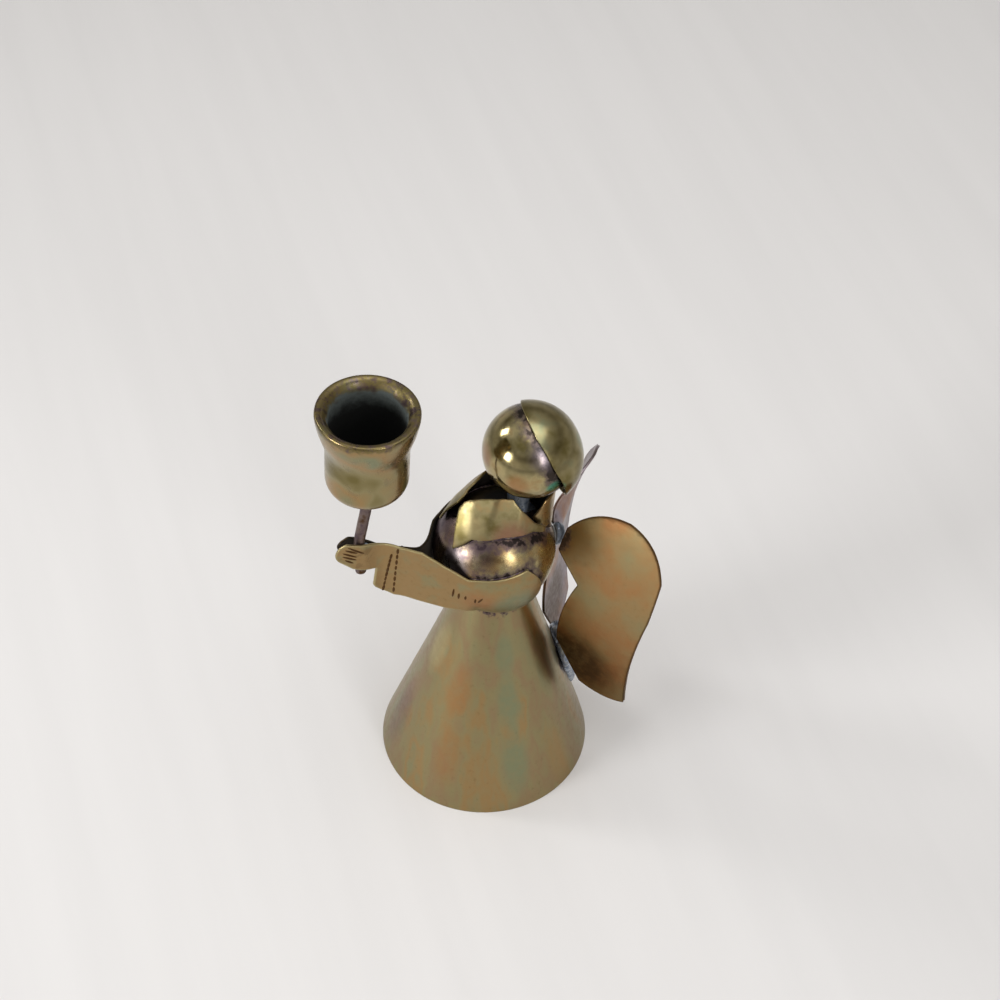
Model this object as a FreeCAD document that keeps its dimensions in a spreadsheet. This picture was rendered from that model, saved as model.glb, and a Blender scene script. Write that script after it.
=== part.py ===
import FreeCAD, Part
import math
import os
import Sketcher

# Small angel of sheet brass that holds one candle cup in front of it.
# The figure stands on its skirt, faces -Y and has its own left hand at +X.
# The origin is the centre of the skirt's hem, on the surface that it stands on.

# Driving sizes in millimetres and degrees: name, value, meaning.
SIZES = (
    ("sheet_gauge", 0.45, "wall of the sheet that the figure is cut from"),
    ("seam_gap", 0.05, "film of solder between two pieces that lie on each other"),
    ("hem_radius", 19.8, "outer radius of the skirt where it stands"),
    ("skirt_height", 44.2, "height of the skirt's top rim"),
    ("waist_radius", 5.95, "outer radius of the skirt's top rim"),
    ("figure_lean", 2.2, "how far the waist lies behind the hem's centre"),
    ("ball_radius", 11.0, "outer radius of the torso ball"),
    ("foot_opening", 4.4, "radius of the torso ball's lower opening"),
    ("vent_radius", 1.3, "radius of the vent in the top of the torso ball and under the head"),
    ("cape_slant_height", 15.2, "height of the cape's cone along its own axis"),
    ("cape_hem_radius", 11.76, "radius of the cape's cone at its lower end"),
    ("cape_rim_radius", 7.1, "radius of the cape's cone at its upper end"),
    ("cape_tilt", 19.0, "lean of the cape's axis, its upper end to the back"),
    ("cape_advance", 0.73, "how far the cone's lower end lies in front of the torso's axis"),
    ("cape_lift", 1.81, "height of the cone's lower end over the torso's centre"),
    ("cape_inset", 2.82, "how far each half's axis lies past the middle plane"),
    ("cape_swell", 1.0, "how far the cone's side stands out from straight"),
    ("cape_split", 3.2, "half of the V front's width at the cape's front corners"),
    ("collar_setback", 6.3, "how far the collar's axis lies behind the torso's"),
    ("collar_radius", 4.1, "outer radius of the collar's narrow foot"),
    ("collar_flare", 0.9, "how much wider the collar's rim is than its foot"),
    ("collar_height", 9.7, "height of the collar from foot to rim"),
    ("collar_sink", 5.7, "how far the collar's foot lies under the top of the torso ball"),
    ("neck_setback", 4.5, "how far the neck lies behind the torso's axis"),
    ("neck_radius", 2.2, "radius of the neck post"),
    ("neck_rise", 4.5, "height of the head ball's underside over the neck's foot"),
    ("head_setback", 2.0, "how far the head's centre lies behind the neck"),
    ("head_radius", 8.3, "outer radius of the head ball"),
    ("hair_edge", 1.6, "how far the hair's front edge lies behind the head's centre"),
    ("hair_tilt", 17.0, "tilt of the hair cap, its back raised"),
    ("face_turn", 0.5, "turn of the head to the figure's left"),
    ("wing_gauge", 0.5, "wall of the wings"),
    ("wing_span", 22.4, "width of one wing from its root"),
    ("wing_length", 44.6, "length that the wing's outline is drawn to"),
    ("wing_angle", 53.8, "angle between the left wing and straight back"),
    ("wing_bow", 72.5, "upright radius that the wings are bent to"),
    ("wing_belly", 20.8, "depth of the bend's foremost line under the wings' roots"),
    ("wing_standoff", 0.95, "gap between the torso ball and the wings' roots"),
    ("wing_drop", 0.73, "how far the left wing's root lies under the torso's centre"),
    ("far_wing_drop", 1.98, "how far the right wing's root lies under the torso's centre"),
    ("far_wing_angle", 55.6, "angle between the right wing and straight back"),
    ("root_gap", 0.4, "distance of each wing's root from the middle plane"),
    ("rod_radius", 0.98, "radius of the rod"),
    ("rod_grip", 7.15, "length of the rod's upright lower end"),
    ("rod_angle", 11.5, "bend of the rod over the hands, towards the figure"),
    ("rod_bend_radius", 6.0, "radius of that bend"),
    ("rod_reach", 24.62, "distance of the rod's lower end from the torso's axis"),
    ("rod_upper", 13.2, "length of the rod's leaning upper end"),
    ("rod_drop", 0.5, "how far the rod's end stands out under the hands"),
    ("hand_height", 8.75, "height of a hand"),
    ("hand_length", 7.3, "length of a hand from cuff to fingertips"),
    ("hand_lift", 2.7, "height of the hand's lower edge at the cuff over the torso's centre"),
    ("cuff_drop", 5.9, "how far the cuff reaches below the hand"),
    ("sleeve_sag", 7.6, "how far the sleeve's lower edge is below the torso's centre"),
    ("sleeve_rise", 4.0, "height of the sleeve's upper edge over the torso's centre"),
    ("sleeve_wrap", 2.7, "how far the sleeve runs back past the torso's axis"),
    ("sleeve_end", 2.8, "bulge of the sleeve's round rear end"),
    ("sleeve_curve", 13.0, "upright radius of the sleeve where it hugs the torso"),
    ("cup_height", 18.0, "height of the candle cup"),
    ("cup_bore", 6.6, "radius of the bore that the candle stands in"),
    ("cup_wall", 0.55, "wall of the candle cup"),
    ("cup_floor", 0.8, "floor of the candle cup"),
    ("cup_corner", 3.2, "outer radius of the cup's lower corner"),
    ("lip_radius", 8.85, "outer radius of the cup's flared lip"),
    ("lip_height", 7.6, "height of the flared lip"),
    ("lip_swell", 0.15, "how far the lip's side stands out from straight"),
    ("cup_tilt", 3.0, "lean of the cup, its lip towards the figure"),
    ("cup_offset", 0.7, "how far the cup's axis lies in front of the rod's end"),
    ("solder_leg", 0.9, "leg of a solder fillet"),
    ("grip_solder", 2.4, "half height of the solder between the hands"),
    ("top_blob_width", 1.8, "half width of the wings' upper solder"),
    ("top_blob_height", 3.1, "half height of the wings' upper solder"),
    ("low_blob_width", 4.6, "half width of the wings' lower solder"),
    ("low_blob_height", 5.2, "half height of the wings' lower solder"),
    ("low_blob_depth", 2.4, "half depth of the wings' lower solder"),
    ("low_blob_drop", 33.1, "how far the wings' lower solder lies under the torso's centre"),
)

# Side outline of one cape half on its leaning cone: shares of the lower radius behind the
# cone's axis and of the cone's height, along the lower edge and back along the neckline.
CAPE_OUTLINE_SHARES = (
    (-1.10, -0.24),
    (-0.81, 0.045),
    (-0.70, 0.19),
    (-0.55, 0.32),
    (-0.23, 0.43),
    (0.20, 0.496),
    (0.53, 0.455),
    (0.53, 0.525),
    (0.39, 0.55),
    (0.13, 0.76),
    (-0.165, 0.925),
    (-0.41, 0.92),
    (-0.69, 0.655),
    (-1.10, 0.60),
)

# Front edge of one cape half: shares of the V's half width and of the cone's height.
CAPE_FRONT_SHARES = (
    (1.19, -0.10),
    (1.00, 0.045),
    (0.53, 0.325),
    (0.09, 0.56),
    (0.00, 0.68),
)

# Side outline of the collar: shares of its rim diameter behind its axis, and of its height
# over its foot.
COLLAR_OUTLINE_SHARES = (
    (0.70, -0.20),
    (0.22, 0.04),
    (0.045, 0.32),
    (-0.074, 0.53),
    (0.19, 0.895),
    (0.42, 1.00),
    (0.70, 1.00),
)

# Outline of one wing: shares of its span from the root and of its length over the root,
# with the bulge of the side that follows as a share of the span, outwards positive.
WING_OUTLINE_SHARES = (
    (0.03, -0.063, 0.0),
    (0.065, 0.047, 0.075),
    (0.58, 0.186, 0.085),
    (0.965, 0.010, 0.006),
    (0.925, -0.197, -0.025),
    (0.755, -0.769, 0.055),
    (0.31, -0.791, 0.0),
    (0.10, -0.560, 0.038),
    (0.26, -0.184, 0.0),
)

# Upper edge of a sleeve from the cuff to the elbow: shares of the hand's length behind the
# cuff and of the hand's height under its top.
SLEEVE_TOP_SHARES = {
    "left": ((0.16, 0.34), (0.60, 0.47), (1.05, 0.47)),
    "right": ((0.16, 0.49), (0.60, 0.64), (1.05, 0.80)),
}

# Where the elbow end of that edge lies: shares of the ball's radius in front of the torso's
# axis and of the sleeve's rise.
ELBOW_TOP_SHARES = {"left": (0.68, 0.70), "right": (0.78, 0.95)}

# How much shorter and lower the right hand is than the left: shares of the hand's length
# at the fingertips and at the cuff, and of its height.
HAND_OFFSET_SHARES = {"left": (0.0, 0.0, 0.0), "right": (0.13, 0.10, 0.13)}

# Plan of the right sleeve up to the torso: shares of the way from the hand to where the
# sleeve first lies on the ball, and of the ball's radius to the side.
RIGHT_SLEEVE_SHARES = (
    (0.226, 0.00),
    (0.40, -0.01),
    (0.52, 0.03),
    (0.618, 0.11),
    (0.719, 0.245),
    (0.809, 0.40),
    (0.889, 0.54),
)

# Azimuths in degrees, from the front, at which the sleeves' sheet ends behind the torso
# and at which the right sleeve first lies on the ball.
SLEEVE_LAST_TURN = 150
RIGHT_SLEEVE_TOUCH = 44

MIDDLE = FreeCAD.Vector(0, 0, 0)
ACROSS = FreeCAD.Vector(1, 0, 0)
UPWARD = FreeCAD.Vector(0, 0, 1)
BOOK = "sizes"


def make_sheet(doc):
    """Write every driving size into the document's sheet."""
    sheet = doc.addObject("Spreadsheet::Sheet", BOOK)
    for number, (name, value, meaning) in enumerate(SIZES, start=1):
        sheet.set(f"A{number}", meaning)
        sheet.set(f"B{number}", str(value))
        sheet.setAlias(f"B{number}", name)
    doc.recompute()
    return sheet


def size_text(expression):
    """Point every size name in an expression at the sheet."""
    words = expression
    for name in sorted((row[0] for row in SIZES), key=len, reverse=True):
        words = words.replace(f"@{name}@", f"{BOOK}.{name}")
    return words


def at(name):
    """Mark a size name inside an expression."""
    return f"@{name}@"


def value_of(holder, expression):
    """Work an expression out as a plain number."""
    result = holder.evalExpression(size_text(expression))
    return float(getattr(result, "Value", result))


def bind(holder, prop, expression):
    """Tie a property to the sheet."""
    holder.setExpression(prop, size_text(expression))


def origin_plane(body, role):
    """Find one of a body's own origin planes or axes."""
    return [part for part in body.Origin.OriginFeatures if part.Role == role][0]


def new_body(doc, name):
    """Start a body with its label."""
    body = doc.addObject("PartDesign::Body", name)
    body.Label = name
    return body


def new_sketch(body, name, role, lift=None):
    """Attach a sketch to a body's origin plane, raised by an expression if one is given."""
    sketch = body.newObject("Sketcher::SketchObject", name)
    sketch.AttachmentSupport = (origin_plane(body, role), [""])
    sketch.MapMode = "FlatFace"
    if lift:
        bind(sketch, "AttachmentOffset.Base.z", lift)
    return sketch


def pin_point(sketch, geometry, end, corner):
    """Hold a point of a sketch at a pair of expressions."""
    for kind, expression in zip(("DistanceX", "DistanceY"), corner):
        number = value_of(sketch, expression)
        index = sketch.addConstraint(Sketcher.Constraint(kind, -1, 1, geometry, end, number))
        bind(sketch, f"Constraints[{index}]", expression)


def draw_circle(sketch, centre, radius):
    """Draw a circle round a centre given as a pair of expressions."""
    spot = FreeCAD.Vector(value_of(sketch, centre[0]), value_of(sketch, centre[1]), 0)
    circle = Part.Circle(spot, UPWARD, value_of(sketch, radius))
    geometry = sketch.addGeometry(circle, False)
    pin_point(sketch, geometry, 3, centre)
    index = sketch.addConstraint(Sketcher.Constraint("Radius", geometry, circle.Radius))
    bind(sketch, f"Constraints[{index}]", radius)


def arc_between(start, finish, radius, turn):
    """Lay the shorter arc from start to finish; turn is 1 to bulge right of travel."""
    chord = finish - start
    side = FreeCAD.Vector(chord.y, -chord.x, 0)
    side.normalize()
    depth = math.sqrt(max(radius**2 - (chord.Length / 2) ** 2, 0))
    centre = (start + finish) / 2 - side * turn * depth
    return Part.Arc(start, centre + side * turn * radius, finish)


def draw_sides(sketch, corners, rounds, closed):
    """Draw the sides between corners; rounds gives a side's radius and its turn."""
    spots = [
        FreeCAD.Vector(value_of(sketch, x), value_of(sketch, y), 0) for x, y in corners
    ]
    count = len(spots) if closed else len(spots) - 1
    ends = []
    for number in range(count):
        start = spots[number]
        finish = spots[(number + 1) % len(spots)]
        if number in rounds:
            radius, turn = rounds[number]
            curve = arc_between(start, finish, value_of(sketch, radius), turn)
        else:
            curve = Part.LineSegment(start, finish)
        geometry = sketch.addGeometry(curve, False)
        first = sketch.getPoint(geometry, 1).distanceToPoint(start)
        second = sketch.getPoint(geometry, 2).distanceToPoint(start)
        ends.append((geometry, 1, 2) if first < second else (geometry, 2, 1))
    joints = count if closed else count - 1
    for number in range(joints):
        geometry, first, last = ends[number]
        following = ends[(number + 1) % count]
        sketch.addConstraint(
            Sketcher.Constraint("Coincident", geometry, last, following[0], following[1])
        )
    for (geometry, first, last), corner in zip(ends, corners):
        pin_point(sketch, geometry, first, corner)
    if not closed:
        pin_point(sketch, ends[-1][0], ends[-1][2], corners[-1])
    for number, (radius, turn) in rounds.items():
        index = sketch.addConstraint(
            Sketcher.Constraint("Radius", ends[number][0], value_of(sketch, radius))
        )
        bind(sketch, f"Constraints[{index}]", radius)


def draw_outline(sketch, corners, rounds=None):
    """Draw a closed outline."""
    draw_sides(sketch, corners, rounds or {}, True)


def draw_path(sketch, corners, rounds):
    """Draw an open path."""
    draw_sides(sketch, corners, rounds, False)


def bulge_radius(start, finish, bulge):
    """Give the radius of an arc that stands a bulge off its chord, as an expression."""
    run = f"(({finish[0]}) - ({start[0]}))"
    climb = f"(({finish[1]}) - ({start[1]}))"
    return f"({run} * {run} + {climb} * {climb}) / (8 * ({bulge})) + ({bulge}) / 2"


def revolve(body, name, sketch, kind="PartDesign::Revolution"):
    """Turn a sketch fully round its upright axis."""
    turned = body.newObject(kind, name)
    turned.Profile = sketch
    turned.ReferenceAxis = (sketch, ["V_Axis"])
    turned.Angle = 360
    return turned


def keep_inside(body, name, sketch, corners, rounds, margin):
    """Cut away all that lies outside an outline, right through the body both ways."""
    spots = [(value_of(sketch, x), value_of(sketch, y)) for x, y in corners]
    low_x = min(range(len(spots)), key=lambda k: spots[k][0])
    high_x = max(range(len(spots)), key=lambda k: spots[k][0])
    low_y = min(range(len(spots)), key=lambda k: spots[k][1])
    high_y = max(range(len(spots)), key=lambda k: spots[k][1])
    left = f"({corners[low_x][0]}) - ({margin})"
    right = f"({corners[high_x][0]}) + ({margin})"
    bottom = f"({corners[low_y][1]}) - ({margin})"
    top = f"({corners[high_y][1]}) + ({margin})"
    draw_outline(sketch, [(left, bottom), (right, bottom), (right, top), (left, top)])
    draw_outline(sketch, corners, rounds)
    pocket = body.newObject("PartDesign::Pocket", name)
    pocket.Profile = sketch
    pocket.Type = "ThroughAll"
    pocket.Midplane = True
    return pocket


def place(holder, right="0", back="0", up="0", axis=None, angle=None):
    """Stand a piece at its place, each coordinate an expression."""
    if axis is not None:
        turn = FreeCAD.Rotation(axis, value_of(holder, angle))
        holder.Placement = FreeCAD.Placement(MIDDLE, turn)
        bind(holder, "Placement.Rotation.Angle", angle)
    bind(holder, "Placement.Base.x", right)
    bind(holder, "Placement.Base.y", back)
    bind(holder, "Placement.Base.z", up)


# Places that several pieces share, as expressions of the driving sizes.
BALL_SEAT = f"sqrt({at('ball_radius')}^2 - ({at('waist_radius')} - {at('sheet_gauge')})^2)"
BALL_LEVEL = f"({at('skirt_height')} + {BALL_SEAT})"
COLLAR_LIFT = f"({at('ball_radius')} - {at('collar_sink')})"
NECK_BACK = f"({at('figure_lean')} + {at('neck_setback')})"
NECK_FOOT = f"({BALL_LEVEL} + sqrt({at('ball_radius')}^2 - {at('neck_setback')}^2))"
HEAD_BACK = f"({NECK_BACK} + {at('head_setback')})"
HEAD_LEVEL = f"({NECK_FOOT} + {at('neck_rise')} + {at('head_radius')})"
WING_BACK = f"({at('figure_lean')} + {at('ball_radius')} + {at('wing_standoff')})"
HAND_BOTTOM = f"({BALL_LEVEL} + {at('hand_lift')})"
ROD_FOOT = f"({HAND_BOTTOM} - {at('rod_drop')})"
ROD_FRONT = f"({at('figure_lean')} - {at('rod_reach')})"
BEND_RUN = f"({at('rod_bend_radius')} * (1 - cos({at('rod_angle')})))"
BEND_RISE = f"({at('rod_grip')} + {at('rod_bend_radius')} * sin({at('rod_angle')}))"
ROD_TOP_RUN = f"({BEND_RUN} + {at('rod_upper')} * sin({at('rod_angle')}))"
ROD_TOP_RISE = f"({BEND_RISE} + {at('rod_upper')} * cos({at('rod_angle')}))"
LOW_BLOB_LEVEL = f"({BALL_LEVEL} - {at('low_blob_drop')})"
CUP_FRONT = f"({ROD_FRONT} + {ROD_TOP_RUN} - {at('cup_offset')})"
CUP_LEVEL = f"({ROD_FOOT} + {ROD_TOP_RISE})"


def skirt_loft(doc, body, side, hem, rim, kind):
    """Cone from the hem's circle to the waist's, which lies a little behind it."""
    hem_sketch = new_sketch(body, f"{body.Label}_{side}_hem", "XY_Plane")
    draw_circle(hem_sketch, ("0", "0"), hem)
    rim_sketch = new_sketch(body, f"{body.Label}_{side}_rim", "XY_Plane", at("skirt_height"))
    draw_circle(rim_sketch, ("0", at("figure_lean")), rim)
    doc.recompute()
    loft = body.newObject(kind, f"{body.Label}_{side}")
    loft.Profile = hem_sketch
    loft.Sections = [rim_sketch]
    loft.Ruled = True
    doc.recompute()


def make_skirt(doc):
    """Open cone of rolled sheet."""
    body = new_body(doc, "skirt")
    outer = (at("hem_radius"), at("waist_radius"))
    skirt_loft(doc, body, "outer", *outer, "PartDesign::AdditiveLoft")
    inner = [f"{radius} - {at('sheet_gauge')}" for radius in outer]
    skirt_loft(doc, body, "inner", *inner, "PartDesign::SubtractiveLoft")
    return body


def make_skirt_core(doc):
    """Solid cone in the skirt's outer shape, which solder on the skirt is cut to."""
    body = new_body(doc, "skirt_core")
    skirt_loft(
        doc,
        body,
        "outer",
        at("hem_radius"),
        at("waist_radius"),
        "PartDesign::AdditiveLoft",
    )
    return body


def shell_profile(sketch, outer, wall, low_hole, high_hole):
    """Draw half the section of a ball shell with a round opening at each end."""
    inner = f"({outer} - {wall})"
    corners = [
        (low_hole, f"-sqrt({outer}^2 - ({low_hole})^2)"),
        (high_hole, f"sqrt({outer}^2 - ({high_hole})^2)"),
        (high_hole, f"sqrt({inner}^2 - ({high_hole})^2)"),
        (low_hole, f"-sqrt({inner}^2 - ({low_hole})^2)"),
    ]
    draw_outline(sketch, corners, {0: (outer, 1), 2: (inner, -1)})


def make_torso(doc):
    """Hollow ball that sits in the skirt's top rim, open below and at the neck."""
    body = new_body(doc, "torso")
    section = new_sketch(body, "torso_section", "XZ_Plane")
    shell_profile(
        section,
        at("ball_radius"),
        at("sheet_gauge"),
        at("foot_opening"),
        at("vent_radius"),
    )
    revolve(body, "torso_shell", section)
    place(body, back=at("figure_lean"), up=BALL_LEVEL)
    return body


def make_cape(doc):
    """Left half of the cape: part of a leaning cone of sheet, cut to its outline."""
    body = new_body(doc, "left_cape")
    section = new_sketch(body, "cape_section", "XZ_Plane")
    hem = (at("cape_hem_radius"), "0")
    rim = (at("cape_rim_radius"), at("cape_slant_height"))
    inner_hem = (f"{hem[0]} - {at('sheet_gauge')}", hem[1])
    inner_rim = (f"{rim[0]} - {at('sheet_gauge')}", rim[1])
    radius = bulge_radius(hem, rim, at("cape_swell"))
    draw_outline(
        section,
        [hem, rim, inner_rim, inner_hem],
        {0: (radius, 1), 2: (radius, -1)},
    )
    revolve(body, "cape_cone", section)
    doc.recompute()
    middle = f"{at('cape_inset')} + {at('seam_gap')}"
    far = f"-2 * {at('cape_hem_radius')}"
    above = f"2 * {at('cape_slant_height')}"
    below = f"-{at('cape_slant_height')}"
    other_side = new_sketch(body, "cape_other_side", "XZ_Plane")
    draw_outline(
        other_side,
        [(far, below), (middle, below), (middle, above), (far, above)],
    )
    half = body.newObject("PartDesign::Pocket", "cape_half")
    half.Profile = other_side
    half.Type = "ThroughAll"
    half.Midplane = True
    doc.recompute()
    opening = new_sketch(body, "cape_v_cut", "XZ_Plane")
    edge = [
        (
            f"{at('cape_inset')} + {at('cape_split')} * {aside}",
            f"{at('cape_slant_height')} * {climb}",
        )
        for aside, climb in CAPE_FRONT_SHARES
    ]
    draw_outline(opening, [("0", edge[0][1]), *edge, ("0", edge[-1][1])])
    before = body.Shape.Volume
    notch = body.newObject("PartDesign::Pocket", "cape_v")
    notch.Profile = opening
    notch.Type = "ThroughAll"
    notch.Reversed = True
    doc.recompute()
    if body.Shape.Volume >= before:
        raise RuntimeError("the V front cuts nothing")
    side = new_sketch(body, "cape_outline", "YZ_Plane")
    corners = [
        (f"{at('cape_hem_radius')} * {run}", f"{at('cape_slant_height')} * {climb}")
        for run, climb in CAPE_OUTLINE_SHARES
    ]
    keep_inside(body, "cape_trim", side, corners, {}, at("cape_hem_radius"))
    doc.recompute()
    seat = body.newObject("PartDesign::SubtractiveSphere", "cape_seat")
    bind(seat, "Radius", f"{at('ball_radius')} + {at('seam_gap')}")
    seat.AttachmentSupport = (origin_plane(body, "XY_Plane"), [""])
    seat.MapMode = "FlatFace"
    bind(seat, "AttachmentOffset.Base.x", at("cape_inset"))
    lean = at("cape_tilt")
    bind(
        seat,
        "AttachmentOffset.Base.y",
        f"{at('cape_advance')} * cos({lean}) + {at('cape_lift')} * sin({lean})",
    )
    bind(
        seat,
        "AttachmentOffset.Base.z",
        f"{at('cape_advance')} * sin({lean}) - {at('cape_lift')} * cos({lean})",
    )
    place(
        body,
        right=f"-{at('cape_inset')}",
        back=f"{at('figure_lean')} - {at('cape_advance')}",
        up=f"{BALL_LEVEL} + {at('cape_lift')}",
        axis=ACROSS * -1,
        angle=lean,
    )
    return body


def make_collar(doc):
    """Flared band behind the neck, open to the front."""
    body = new_body(doc, "back_collar")
    section = new_sketch(body, "collar_section", "XZ_Plane")
    foot = (at("collar_radius"), f"-{at('collar_height')} * 0.5")
    rim = (f"{at('collar_radius')} + {at('collar_flare')}", at("collar_height"))
    inner_rim = (f"{rim[0]} - {at('sheet_gauge')}", rim[1])
    inner_foot = (f"{foot[0]} - {at('sheet_gauge')}", foot[1])
    radius = bulge_radius(foot, rim, f"{at('collar_flare')} * 0.3")
    draw_outline(
        section,
        [foot, rim, inner_rim, inner_foot],
        {0: (radius, -1), 2: (radius, 1)},
    )
    revolve(body, "collar_band", section)
    doc.recompute()
    side = new_sketch(body, "collar_outline", "YZ_Plane")
    width = f"2 * ({rim[0]})"
    corners = [
        (f"{width} * {run}", f"{at('collar_height')} * {climb}")
        for run, climb in COLLAR_OUTLINE_SHARES
    ]
    keep_inside(body, "collar_trim", side, corners, {}, at("collar_height"))
    doc.recompute()
    seat = body.newObject("PartDesign::SubtractiveSphere", "collar_seat")
    bind(seat, "Radius", f"{at('ball_radius')} + {at('seam_gap')}")
    seat.AttachmentSupport = (origin_plane(body, "XY_Plane"), [""])
    seat.MapMode = "FlatFace"
    bind(seat, "AttachmentOffset.Base.y", f"-{at('collar_setback')}")
    bind(seat, "AttachmentOffset.Base.z", f"-{COLLAR_LIFT}")
    place(
        body,
        back=f"{at('figure_lean')} + {at('collar_setback')}",
        up=f"{BALL_LEVEL} + {COLLAR_LIFT}",
    )
    return body


def make_head(doc):
    """Hollow polished ball with a vent over the neck."""
    body = new_body(doc, "head_ball")
    section = new_sketch(body, "head_section", "XZ_Plane")
    shell_profile(section, at("head_radius"), at("sheet_gauge"), at("vent_radius"), "0")
    revolve(body, "head_shell", section)
    place(body, back=HEAD_BACK, up=HEAD_LEVEL)
    return body


def make_hair(doc):
    """Cap of sheet over the back of the head, turned on its own axis."""
    body = new_body(doc, "hair_cap")
    section = new_sketch(body, "hair_section", "XZ_Plane")
    inner = f"({at('head_radius')} + {at('seam_gap')})"
    outer = f"({inner} + {at('sheet_gauge')})"
    edge = at("hair_edge")
    corners = [
        (f"sqrt({outer}^2 - {edge}^2)", edge),
        ("0", outer),
        ("0", inner),
        (f"sqrt({inner}^2 - {edge}^2)", edge),
    ]
    draw_outline(section, corners, {0: (outer, 1), 2: (inner, -1)})
    revolve(body, "hair_shell", section)
    turn = math.radians(value_of(body, at("face_turn")))
    place(
        body,
        back=HEAD_BACK,
        up=HEAD_LEVEL,
        axis=FreeCAD.Vector(-math.cos(turn), -math.sin(turn), 0),
        angle=f"90 - {at('hair_tilt')}",
    )
    return body


def make_wing(doc, name, drop, angle):
    """Wing on the left side: sheet bent about a level line and cut to its outline."""
    body = new_body(doc, name)
    strip = new_sketch(body, f"{name}_bend", "YZ_Plane")
    centre = f"sqrt({at('wing_bow')}^2 - {at('wing_belly')}^2)"
    bottom = f"-{at('wing_length')}"
    top = f"{at('wing_length')} * 0.3"
    corners = []
    for wall, level in ((1, bottom), (-1, bottom), (-1, top), (1, top)):
        radius = f"({at('wing_bow')} + {at('wing_gauge')} * 0.5 * {wall})"
        rise = f"({level} + {at('wing_belly')})"
        corners.append((f"{centre} - sqrt({radius}^2 - {rise}^2)", level))
    thick = f"{at('wing_gauge')} * 0.5"
    draw_outline(
        strip,
        corners,
        {1: (f"{at('wing_bow')} - {thick}", -1), 3: (f"{at('wing_bow')} + {thick}", 1)},
    )
    pad = body.newObject("PartDesign::Pad", f"{name}_sheet")
    pad.Profile = strip
    bind(pad, "Length", f"{at('root_gap')} + {at('wing_span')} * 1.1")
    doc.recompute()
    outline = new_sketch(body, f"{name}_outline", "XZ_Plane")
    corners = [
        (f"{at('root_gap')} + {at('wing_span')} * {out}", f"{at('wing_length')} * {climb}")
        for out, climb, bulge in WING_OUTLINE_SHARES
    ]
    rounds = {}
    for number, (out, climb, bulge) in enumerate(WING_OUTLINE_SHARES):
        if bulge:
            following = corners[(number + 1) % len(corners)]
            stand = f"{at('wing_span')} * {abs(bulge)}"
            turn = -1 if bulge > 0 else 1
            rounds[number] = (bulge_radius(corners[number], following, stand), turn)
    keep_inside(body, f"{name}_trim", outline, corners, rounds, at("wing_span"))
    place(
        body,
        back=WING_BACK,
        up=f"{BALL_LEVEL} - {drop}",
        axis=UPWARD,
        angle=f"90 - {angle}",
    )
    return body


def make_cup(doc):
    """Spun candle cup: straight bore, flared lip and round lower corner."""
    body = new_body(doc, "candle_cup")
    section = new_sketch(body, "cup_section", "XZ_Plane")
    outer = f"({at('cup_bore')} + {at('cup_wall')})"
    flare = f"({at('lip_radius')} - {outer})"
    throat = f"({at('cup_height')} - {at('lip_height')})"
    inner_corner = f"({at('cup_corner')} - {at('cup_wall')})"
    lip_inner = f"({at('lip_radius')} - {at('cup_wall')})"
    corners = [
        ("0", "0"),
        (f"{outer} - {at('cup_corner')}", "0"),
        (outer, at("cup_corner")),
        (outer, throat),
        (at("lip_radius"), at("cup_height")),
        (lip_inner, at("cup_height")),
        (at("cup_bore"), throat),
        (at("cup_bore"), f"{at('cup_floor')} + {inner_corner}"),
        (f"{at('cup_bore')} - {inner_corner}", at("cup_floor")),
        ("0", at("cup_floor")),
    ]
    sweep = bulge_radius(("0", "0"), (flare, at("lip_height")), at("lip_swell"))
    draw_outline(
        section,
        corners,
        {
            1: (at("cup_corner"), 1),
            3: (sweep, 1),
            5: (sweep, -1),
            7: (inner_corner, -1),
        },
    )
    revolve(body, "cup_shell", section)
    place(
        body,
        back=CUP_FRONT,
        up=CUP_LEVEL,
        axis=ACROSS * -1,
        angle=at("cup_tilt"),
    )
    return body


def make_cup_seat(doc):
    """Solid round block in the cup's place, which the rod and its solder are cut to."""
    block = doc.addObject("Part::Cylinder", "cup_seat")
    bind(block, "Radius", at("cup_bore"))
    bind(block, "Height", f"{at('cup_height')} + {at('seam_gap')}")
    place(
        block,
        back=f"{CUP_FRONT} - {at('seam_gap')} * sin({at('cup_tilt')})",
        up=f"{CUP_LEVEL} - {at('seam_gap')} * cos({at('cup_tilt')})",
        axis=ACROSS * -1,
        angle=at("cup_tilt"),
    )
    return block


def make_rod(doc, seat):
    """Rod that stands between the hands, bends over them and carries the cup."""
    body = new_body(doc, "rod_blank")
    path = new_sketch(body, "rod_path", "YZ_Plane")
    lean = at("rod_angle")
    spare = at("rod_radius")
    corners = [
        ("0", "0"),
        ("0", at("rod_grip")),
        (BEND_RUN, BEND_RISE),
        (f"{ROD_TOP_RUN} + {spare} * sin({lean})", f"{ROD_TOP_RISE} + {spare} * cos({lean})"),
    ]
    draw_path(path, corners, {1: (at("rod_bend_radius"), -1)})
    profile = new_sketch(body, "rod_profile", "XY_Plane")
    draw_circle(profile, ("0", "0"), at("rod_radius"))
    doc.recompute()
    pipe = body.newObject("PartDesign::AdditivePipe", "rod_pipe")
    pipe.Profile = profile
    pipe.Spine = path
    doc.recompute()
    place(body, back=ROD_FRONT, up=ROD_FOOT)
    return cut(doc, "stem_rod", body, [seat])


def ball_tool(doc, name, radius, back, up):
    """Solid ball that cuts a seat."""
    ball = doc.addObject("Part::Sphere", name)
    bind(ball, "Radius", radius)
    place(ball, back=back, up=up)
    return ball


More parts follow.
